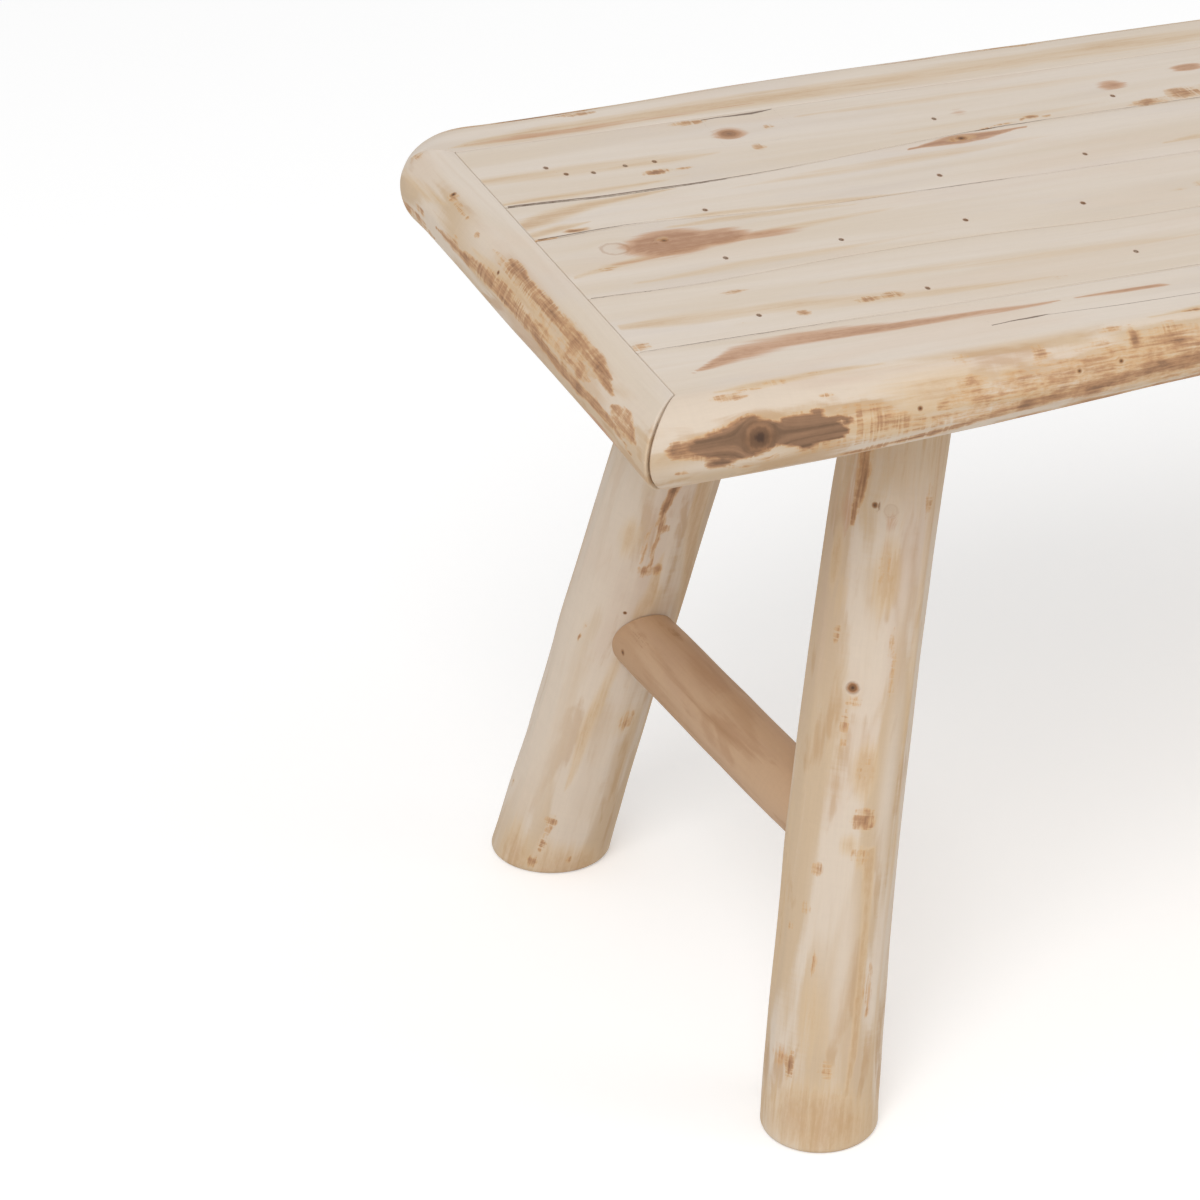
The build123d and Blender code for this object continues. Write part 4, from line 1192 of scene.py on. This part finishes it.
legLooks = {
    "frontFoot": (-482.0, -152.0, 0.0),
    "frontHead": (-407.0, -69.0, 395.0),
    "backFoot": (-518.0, 165.0, 0.0),
    "backHead": (-443.0, 82.0, 395.0),
    "frontSizes": ((0, 31.0), (129, 29.67), (171, 29.67), (283, 28.6), (395, 27.5)),
    "backSizes": ((0, 33.3), (142, 31.94), (184, 31.94), (289.5, 30.97), (395, 30.0)),
    "frontBow": 6.0,
    "backBow": 1.0,
    "footRound": 3.0,
    "tenon": 19.0,
    "around": 110,
    "step": 2.4,
    "marks": {
        "left_front_leg": {
            "seed": 61,
            "knots": [(243, 24.7, 3.4, 1.0), (338, 24.6, 1.7, 0.8), (336, 33, 3.6, 0.25)],
            "barkSpots": [
                (341, 55.5, 11, 3, 0.5), (268, 41.5, 9, 2, 0.65), (236, 25.6, 4, 4.6, 0.65),
                (223, 23, 9, 2.2, 0.55), (214, 23.3, 4, 1.6, 0.45), (200, 36, 10, 6, 0.4),
                (174, 37, 6.5, 7, 0.62), (177, 41, 3, 2, 0.85), (171, 41.3, 2.5, 2, 0.8), (155, 38, 6, 6, 0.42),
                (145, 18, 4, 3.4, 0.6), (123, 14, 4, 3.5, 0.45), (111, 6.7, 4, 3, 0.35),
                (94.6, 21, 8, 1.6, 0.55), (84, 52, 14, 4, 0.42), (70, 53, 4, 1.6, 0.75),
                (37, 14.3, 9, 2.6, 1.0), (40, 8, 9, 7, 0.38), (37.6, 34, 7, 5.5, 0.5), (270, 13.5, 7, 3, 0.4),
                (304, 34, 16, 6, 0.36), (250, 44, 18, 3, 0.34),
            ],
            "barkStreaks": [
                (0.92, [
                    (322, 14, 0), (328, 14.3, 1.6), (335, 14.3, 2.6), (341, 15.5, 3.2), (348, 15.9, 3.6),
                    (354, 16, 4), (385, 17, 4.5),
                ]),
            ],
            "redStreaks": [(0.55, [(315, 10, 0), (335, 10, 7), (365, 13, 10), (395, 14, 10)])],
            "redSpots": [
                (330, 34, 9, 7, 0.5), (317, 33, 9, 7, 0.4), (78, 54, 18, 6, 0.55), (40, 8, 12, 8, 0.5),
            ],
            # The first tan spot, all round the top of the leg, is tan skin and painted shade under the seat
            "tanSpots": [
                (372, 30, 60, 90, 0.75), (303, 35, 26, 9, 1.0), (308, 6.8, 22, 6, 0.9), (289, 13, 18, 5, 0.7),
                (200, 36, 18, 8, 1.0), (160, 32, 8, 6, 0.9), (153, 39, 8, 6, 0.9), (10, 28, 24, 60, 1.0),
                (70, 24, 34, 10, 0.7), (60, 30, 20, 5, 0.6), (120, -4, 90, 9, 0.75),
            ],
            "tanStreaks": [
                (1.15, [
                    (20, 45, 0), (47, 46.8, 3), (87, 47, 3.6), (114, 45.8, 3.8), (141, 44.3, 4.2),
                    (160, 42, 4.5),
                ]),
                (0.8, [(180, 60, 0), (240, 59, 4), (320, 60, 6), (390, 62, 9)]),
                (0.7, [(20, 62, 6), (90, 62, 4), (160, 63, 4), (220, 64, 0)]),
            ],
            "cleanSpots": [
                (270, 26, 28, 9, 1.0), (215, 29.5, 28, 3, 0.9), (130, 26, 46, 10, 0.9), (190, 50, 55, 6, 0.9),
                (100, 35, 50, 6, 0.9), (300, 45, 30, 4, 1.0),
            ],
        },
        "left_back_leg": {
            "seed": 67,
            "knots": [(192.6, 36.2, 1.2, 0.9)],
            "barkSpots": [
                (222, 39.5, 4, 5, 0.62), (224, 46.6, 4.5, 3.5, 0.58), (256, 40.4, 5, 3, 0.72),
                (251, 44.4, 3, 3, 0.55), (173.8, 16.5, 3, 1.2, 0.7), (164.6, 15.2, 2.6, 1, 0.8),
                (118, 57, 9, 7, 0.34), (45, -4, 4, 2.5, 0.5), (41, 31, 5, 4, 0.52), (33, 31, 5, 2.5, 0.5),
                (24.6, 30.3, 7, 3, 0.6), (9.4, 27.2, 5, 3.5, 0.75), (16, 47.3, 5, 1.5, 0.5),
            ],
            "barkStreaks": [
                (1.0, [
                    (254, 40, 0), (260, 39.6, 1.8), (267, 41, 2.8), (273, 42, 3), (285, 43.5, 3.2),
                    (295, 45, 2),
                ]),
                (0.75, [
                    (222, 43, 0), (229, 42, 1.3), (236, 41, 1.2), (244, 41.5, 1.5), (256, 41, 2), (258, 41, 0),
                ]),
                (0.42, [(222, 38, 0), (232, 36.5, 1.8), (245, 35.5, 1.8), (256, 38, 1.5), (258, 38, 0)]),
            ],
            "tanSpots": [
                (240, 27, 20, 8, 0.9), (118, 57, 15, 9, 0.85), (8, 14, 26, 18, 1.0), (260, 66, 40, 8, 0.9),
                (10, 46, 22, 34, 0.95),
            ],
            "tanStreaks": [
                (0.75, [(60, 34, 0), (87, 34.7, 4), (118, 35.4, 5), (151, 39.7, 5), (185, 41, 5)]),
                (0.9, [(180, 42, 3), (194, 45, 6), (208, 48, 6), (225, 47, 3), (240, 47, 0)]),
                (1.1, [(175, 82, 8), (211, 76, 10), (242, 66, 8), (262, 62, 7), (290, 62, 8)]),
                # Down the whole length of the leg's shaded side: tan skin and painted shade
                (0.9, [(0, 86, 10), (120, 86, 10), (240, 88, 12), (390, 86, 14)]),
            ],
            "redSpots": [(110, 60, 14, 9, 0.32), (51, 68, 40, 14, 0.34)],
            "cleanSpots": [
                (190, 4, 140, 20, 1.0), (90, 8, 90, 22, 1.0), (70, 46, 50, 13, 0.9), (300, 10, 80, 26, 0.8),
                (160, 54, 26, 6, 0.8),
            ],
        },
        "right_front_leg": {"seed": 71},
        "right_back_leg": {"seed": 73},
    },
    "otherMarks": {
        "left_front_leg": [
            scatterMarks(62, (10, 380), (80, 92), bark=5, tan=3),
            scatterMarks(63, (10, 380), (-92, -22), bark=14, tan=7, red=1, knots=2),
        ],
        "left_back_leg": [scatterMarks(68, (10, 380), (-98, -26), bark=14, tan=7, red=1, knots=2)],
        "right_front_leg": [scatterMarks(72, (10, 380), (-90, 90), bark=26, tan=14, red=2, knots=4)],
        "right_back_leg": [scatterMarks(74, (10, 380), (-95, 95), bark=24, tan=14, red=3, knots=3)],
    },
}
stretcherLooks = {
    "frontHeight": 150.0,
    "backHeight": 163.0,
    "radius": 18.4,
    "bumpRadius": 18.0,
    "tenon": 12.5,
    "reach": 12.0,
    "gap": 0.3,
    "grip": 42.0,  # length of leg round the stretcher that keeps one thickness
    "around": 80,
    "step": 2.2,
    "marks": {
        "left_stretcher": {
            "seed": 81,
            "knots": [(214, -28, 2.2, 1.0)],
            "barkSpots": [(194, 4, 9, 3, 0.5), (205, -14, 12, 5, 0.3)],
            "tanStreaks": [
                (0.5, [
                    (60, -14, 0), (80, -15, 2.4), (110, -17, 3), (135, -17, 2), (165, -16, 3), (190, -14, 3.4),
                    (208, -12, 0),
                ]),
                (0.45, [(60, -34, 0), (110, -33, 5), (170, -34, 5), (210, -36, 0)]),
            ],
        },
        "right_stretcher": joinMarks(
            {"seed": 83}, scatterMarks(84, (30, 210), (-55, 55), bark=9, tan=6, knots=1)
        ),
    },
}


def legCentre(foot, head, bow, height):
    share = (height / head[2])[:, None]
    line = foot + (head - foot) * share
    line[:, 0] -= 4 * bow * (share * (1 - share))[:, 0]
    return line


# Foot, head, sizes, bow and stretcher height of the front or back leg on the left
def legFacts(which):
    looks = legLooks
    foot, head = np.array(looks[which + "Foot"]), np.array(looks[which + "Head"])
    return foot, head, looks[which + "Sizes"], looks[which + "Bow"], stretcherLooks[which + "Height"]


# Where the middle of the stretcher's end lies on the middle line of its leg
def gripMiddle(which):
    foot, head, _, bow, height = legFacts(which)
    return legCentre(foot, head, bow, np.array([height]))[0]


# Two ends of the even stretch of leg and its radius
def legGrip(which):
    foot, head, sizes, bow, height = legFacts(which)
    half = stretcherLooks["grip"] / 2
    low, high = legCentre(foot, head, bow, np.array([height - half, height + half]))
    return low, high, sizes[1][1]


# Rows are the directions along a leg, towards the outer end of the bench and across both
def legFrame(foot, head):
    along = (head - foot) / np.linalg.norm(head - foot)
    side = np.cross(along, (0, 1, 0))
    side /= np.linalg.norm(side)
    return np.stack([along, side, np.cross(along, side)])


def makeLeg(which, side, name, node):
    looks, marks = legLooks, legLooks["marks"][node]
    foot, head, sizes, bow, gripHeight = legFacts(which)
    low, high, gripRadius = legGrip(which)
    run = (high - low) / np.linalg.norm(high - low)
    lean, heading = math.acos(run[2]), math.atan2(run[1], run[0])
    # Foot edge, log and head
    curve = np.linspace(0, np.pi / 2, 6)
    footHeights = looks["footRound"] * (1 - np.cos(curve))
    logHeights = np.arange(looks["footRound"] + 2, head[2] - 1, looks["step"])
    heights = np.concatenate([footHeights, logHeights, [head[2]]])
    radius = np.interp(heights, *zip(*sizes))
    radius[: len(curve)] -= looks["footRound"] * (1 - np.sin(curve))
    around = np.linspace(0, 2 * np.pi, looks["around"], endpoint=False)
    wide = np.array([math.cos(heading), math.sin(heading), 0]) / math.cos(lean)
    narrow = np.array([-math.sin(heading), math.cos(heading), 0])
    spoke = np.cos(around)[:, None] * wide + np.sin(around)[:, None] * narrow
    grid = legCentre(foot, head, bow, heights)[:, None, :] + radius[:, None, None] * spoke[None, :, :]
    # Bumps and knife flats, fading out at both ends and where the stretcher meets the leg
    height = grid.reshape(-1, 3)[:, 2]
    turned = legFrame(foot, head)
    local = (grid.reshape(-1, 3) - foot) @ turned.T
    seed = marks["seed"]
    bumps = drift(local, (120, 26, 26), seed) * 0.9 + drift(local, (34, 12, 12), seed + 5) * 0.3
    bumps -= 0.9 * knifeFlats(np.arctan2(local[:, 2], local[:, 1]), local[:, 0], gripRadius, 15, seed + 8)
    bumps *= 1 - np.exp(-(((height - gripHeight) / 30) ** 2))
    bumps *= smooth(height, 0, 30) * smooth(head[2] - height, 0, 25)
    outwards = spoke / np.linalg.norm(spoke, axis=1, keepdims=True)
    grid = grid + bumps.reshape(grid.shape[:2])[:, :, None] * outwards[None, :, :]
    # Round tenon up through the slab
    tenonLow = head + looks["tenon"] * spoke
    tenonTop = tenonLow + (head - foot) / head[2] * (bench["slabTop"] - head[2])
    piece = meshFromLoops(name, mirrored(np.concatenate([grid, tenonLow[None], tenonTop[None]]), side))
    local = (mirrored(pointsOf(piece), side) - foot) @ turned.T
    angle = np.arctan2(local[:, 2], local[:, 1])
    skin = np.stack([local[:, 0], angle * gripRadius], axis=1)
    marks = joinMarks(marks, *looks["otherMarks"][node])
    dressWood(piece, local, skin, marks, 1, np.stack([-np.sin(angle), np.cos(angle)], axis=1))
    finishPiece(piece, peeledWood, node)


# How far along a line at each point the skin of a leg is met, on the near side
def meetLeg(start, way, which, nearer):
    low, high, radius = legGrip(which)
    run = (high - low) / np.linalg.norm(high - low)
    gone = start - low
    flatWay, flatGone = way - (way @ run) * run, gone - (gone @ run)[:, None] * run
    a = flatWay @ flatWay
    b = 2 * flatGone @ flatWay
    c = (flatGone**2).sum(axis=1) - (radius + stretcherLooks["gap"]) ** 2
    root = np.sqrt(np.maximum(b * b - 4 * a * c, 0))
    return (-b + nearer * root) / (2 * a)


def makeStretcher(side, name, node):
    looks, marks = stretcherLooks, stretcherLooks["marks"][node]
    front, back = gripMiddle("front"), gripMiddle("back")
    length = np.linalg.norm(back - front)
    way = (back - front) / length
    up = np.array([0, 0, 1]) - way[2] * way
    up /= np.linalg.norm(up)
    across = np.cross(way, up)
    around = np.linspace(0, 2 * np.pi, looks["around"], endpoint=False)
    spoke = np.cos(around)[:, None] * up + np.sin(around)[:, None] * across
    start = front + looks["radius"] * spoke
    first, last = meetLeg(start, way, "front", 1), meetLeg(start, way, "back", -1)
    shares = stationsAlong(1, looks["step"] / length, np.array(endSteps) / length)
    along = first[None, :] + shares[:, None] * (last - first)[None, :]
    ring = np.stack([np.cos(around), np.sin(around)], axis=1) * looks["bumpRadius"]
    local = np.concatenate([along.reshape(-1, 1), np.tile(ring, (len(shares), 1))], axis=1)
    seed = marks["seed"]
    bumps = drift(local, (90, 16, 16), seed) * 0.7 + drift(local, (26, 9, 9), seed + 3) * 0.25
    toEnd = (np.minimum(shares, 1 - shares) * length)[:, None]
    swell = bumps.reshape(along.shape) * smooth(toEnd, 0, 35) - endRounding(toEnd, 0.8)
    log = start[None, :, :] + along[:, :, None] * way + swell[:, :, None] * spoke[None, :, :]
    # A tenon at each end, from inside the leg to the log's end
    tenon = looks["tenon"] * spoke
    nearTenon = [front - looks["reach"] * way + tenon, front + first.mean() * way + tenon]
    farTenon = [front + last.mean() * way + tenon, back + looks["reach"] * way + tenon]
    piece = meshFromLoops(name, mirrored(np.concatenate([nearTenon, log, farTenon]), side))
    local = (mirrored(pointsOf(piece), side) - front) @ np.stack([way, up, across]).T
    skin = np.stack([local[:, 0], np.arctan2(local[:, 2], local[:, 1]) * looks["radius"]], axis=1)
    dressWood(piece, local, skin, marks, 1)
    finishPiece(piece, brownWood, node)


for side, word in ((-1, "left"), (1, "right")):
    makeLeg("front", side, word + "FrontLeg", word + "_front_leg")
    makeLeg("back", side, word + "BackLeg", word + "_back_leg")
    makeStretcher(side, word + "Stretcher", word + "_stretcher")


# Slabs, battens and fasteners keep their shapes


# Wood of a plank that keeps its own shape. Its grain runs along Y
def sawnMaterial(name, looks):
    material, skin = newMaterial(name, {"Specular IOR Level": 0.2})
    place = put("ShaderNodeTexCoord").outputs["Object"]
    broad = fibre(place, (30, 2.5, 30), 3, 0.55, 0.4)
    lines = fibre(place, (160, 3, 160), 3, 0.6, 0.2)
    saw = fibre(place, (6, 520, 60), 2, 0.6)
    colour = mixed(between(broad, 0.35, 0.68), looks["pale"], looks["warm"])
    join(mixed(times(between(lines, 0.5, 0.72), 0.5), colour, looks["line"]), skin["Base Color"])
    join(calc("MULTIPLY_ADD", saw, 0.2, 0.62), skin["Roughness"])
    height = calc("ADD", times(saw, 0.6), times(lines, 0.4))
    bump = put("ShaderNodeBump", {"Strength": 0.4, "Distance": 0.0006, "Height": height})
    join(bump.outputs[0], skin["Normal"])
    return material


def steelMaterial(name, looks):
    material, skin = newMaterial(name, {"Metallic": 0.1, "Specular IOR Level": 0.2})
    scale = fibre(put("ShaderNodeTexCoord").outputs["Object"], (700, 700, 700), 3, 0.6)
    join(mixed(between(scale, 0.4, 0.7), looks["dark"], looks["rust"]), skin["Base Color"])
    join(calc("MULTIPLY_ADD", scale, 0.3, 0.4), skin["Roughness"])
    bump = put("ShaderNodeBump", {"Strength": 0.4, "Distance": 0.0003, "Height": scale})
    join(bump.outputs[0], skin["Normal"])
    return material


plankLooks = {"pale": paint(216, 194, 162), "warm": paint(203, 172, 134), "line": paint(178, 140, 100)}
# Dark iron for nail and screw heads, darkened further as painted shade of the holes the nails sit in
nailLooks = {"dark": paint(30, 26, 24), "rust": paint(62, 45, 36)}
planks = ("left_leg_slab", "right_leg_slab", "left_batten", "right_batten", "corner_dowels", "leg_wedges")
sawnWood = sawnMaterial("sawnWood", plankLooks)
nailSteel = steelMaterial("nailSteel", nailLooks)
for node in planks + ("slat_nails", "rail_screws"):
    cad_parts[node].data.materials.clear()
    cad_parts[node].data.materials.append(sawnWood if node in planks else nailSteel)
print("planks and fasteners finished")


# Studio

studio = {
    "worldLight": 0.6,
    "keyPower": 75.0,
    "keyPlace": (-2.2, -2.4, 3.2),
    "keySize": 2.6,
    "fillPower": 18.0,
    "fillPlace": (2.4, -1.2, 2.2),
    "fillSize": 2.0,
    "lampAim": (0, 0, 0.3),
    "floorReach": 9.0,  # from the middle, in metres as all of these
    "floorColour": (0.86, 0.86, 0.86, 1),
    "floorLift": 0.3,  # added to the floor for the camera only, so that it reads as white
    "cameraPlace": (-1.3185, -2.0673, 1.4066),
    "cameraAim": (-0.54593, 0.0065, 0.24366),
    "lens": 142.43,
}


# 1 for camera, mirror and glass rays, which see the white background
def seenDirectly():
    path = put("ShaderNodeLightPath").outputs
    seen = calc("MAXIMUM", path["Is Camera Ray"], path["Is Glossy Ray"])
    return calc("MAXIMUM", seen, path["Is Transmission Ray"])


def makeFloor():
    far = studio["floorReach"]
    mesh = bpy.data.meshes.new("floor")
    mesh.from_pydata([(-far, -far, 0), (far, -far, 0), (far, far, 0), (-far, far, 0)], [], [(0, 1, 2, 3)])
    material = bpy.data.materials.new("floorPaper")
    startTree(material)
    paper = put("ShaderNodeBsdfDiffuse", {"Color": studio["floorColour"]})
    lift = put("ShaderNodeEmission", {"Strength": times(seenDirectly(), studio["floorLift"])})
    both = put("ShaderNodeAddShader", {0: paper.outputs[0], 1: lift.outputs[0]})
    join(both.outputs[0], put("ShaderNodeOutputMaterial").inputs[0])
    mesh.materials.append(material)
    addObject("floor", mesh)


def makeWorld():
    world = bpy.data.worlds.new("studio")
    startTree(world)
    dim = studio["worldLight"]
    strength = calc("MULTIPLY_ADD", seenDirectly(), 1 - dim, dim)
    light = put("ShaderNodeBackground", {"Color": (1, 1, 1, 1), "Strength": strength})
    join(light.outputs[0], put("ShaderNodeOutputWorld").inputs[0])
    bpy.context.scene.world = world


def makeLamp(name, place, size, power):
    lamp = bpy.data.lights.new(name, "AREA")
    lamp.shape = "DISK"
    lamp.size = size
    lamp.energy = power
    holder = addObject(name, lamp)
    holder.location = place
    holder.rotation_euler = (Vector(studio["lampAim"]) - Vector(place)).to_track_quat("-Z", "Y").to_euler()


def makeCamera():
    camera = bpy.data.cameras.new("camera")
    camera.lens = studio["lens"]
    camera.sensor_width = 36
    camera.clip_start, camera.clip_end = 0.05, 60
    holder = addObject("camera", camera)
    holder.location = studio["cameraPlace"]
    aim = Vector(studio["cameraAim"]) - Vector(studio["cameraPlace"])
    holder.rotation_euler = aim.to_track_quat("-Z", "Y").to_euler()
    bpy.context.scene.camera = holder


makeFloor()
makeWorld()
makeLamp("keyLamp", studio["keyPlace"], studio["keySize"], studio["keyPower"])
makeLamp("fillLamp", studio["fillPlace"], studio["fillSize"], studio["fillPower"])
makeCamera()
bpy.context.scene.view_settings.view_transform = "Standard"
print("studio set")
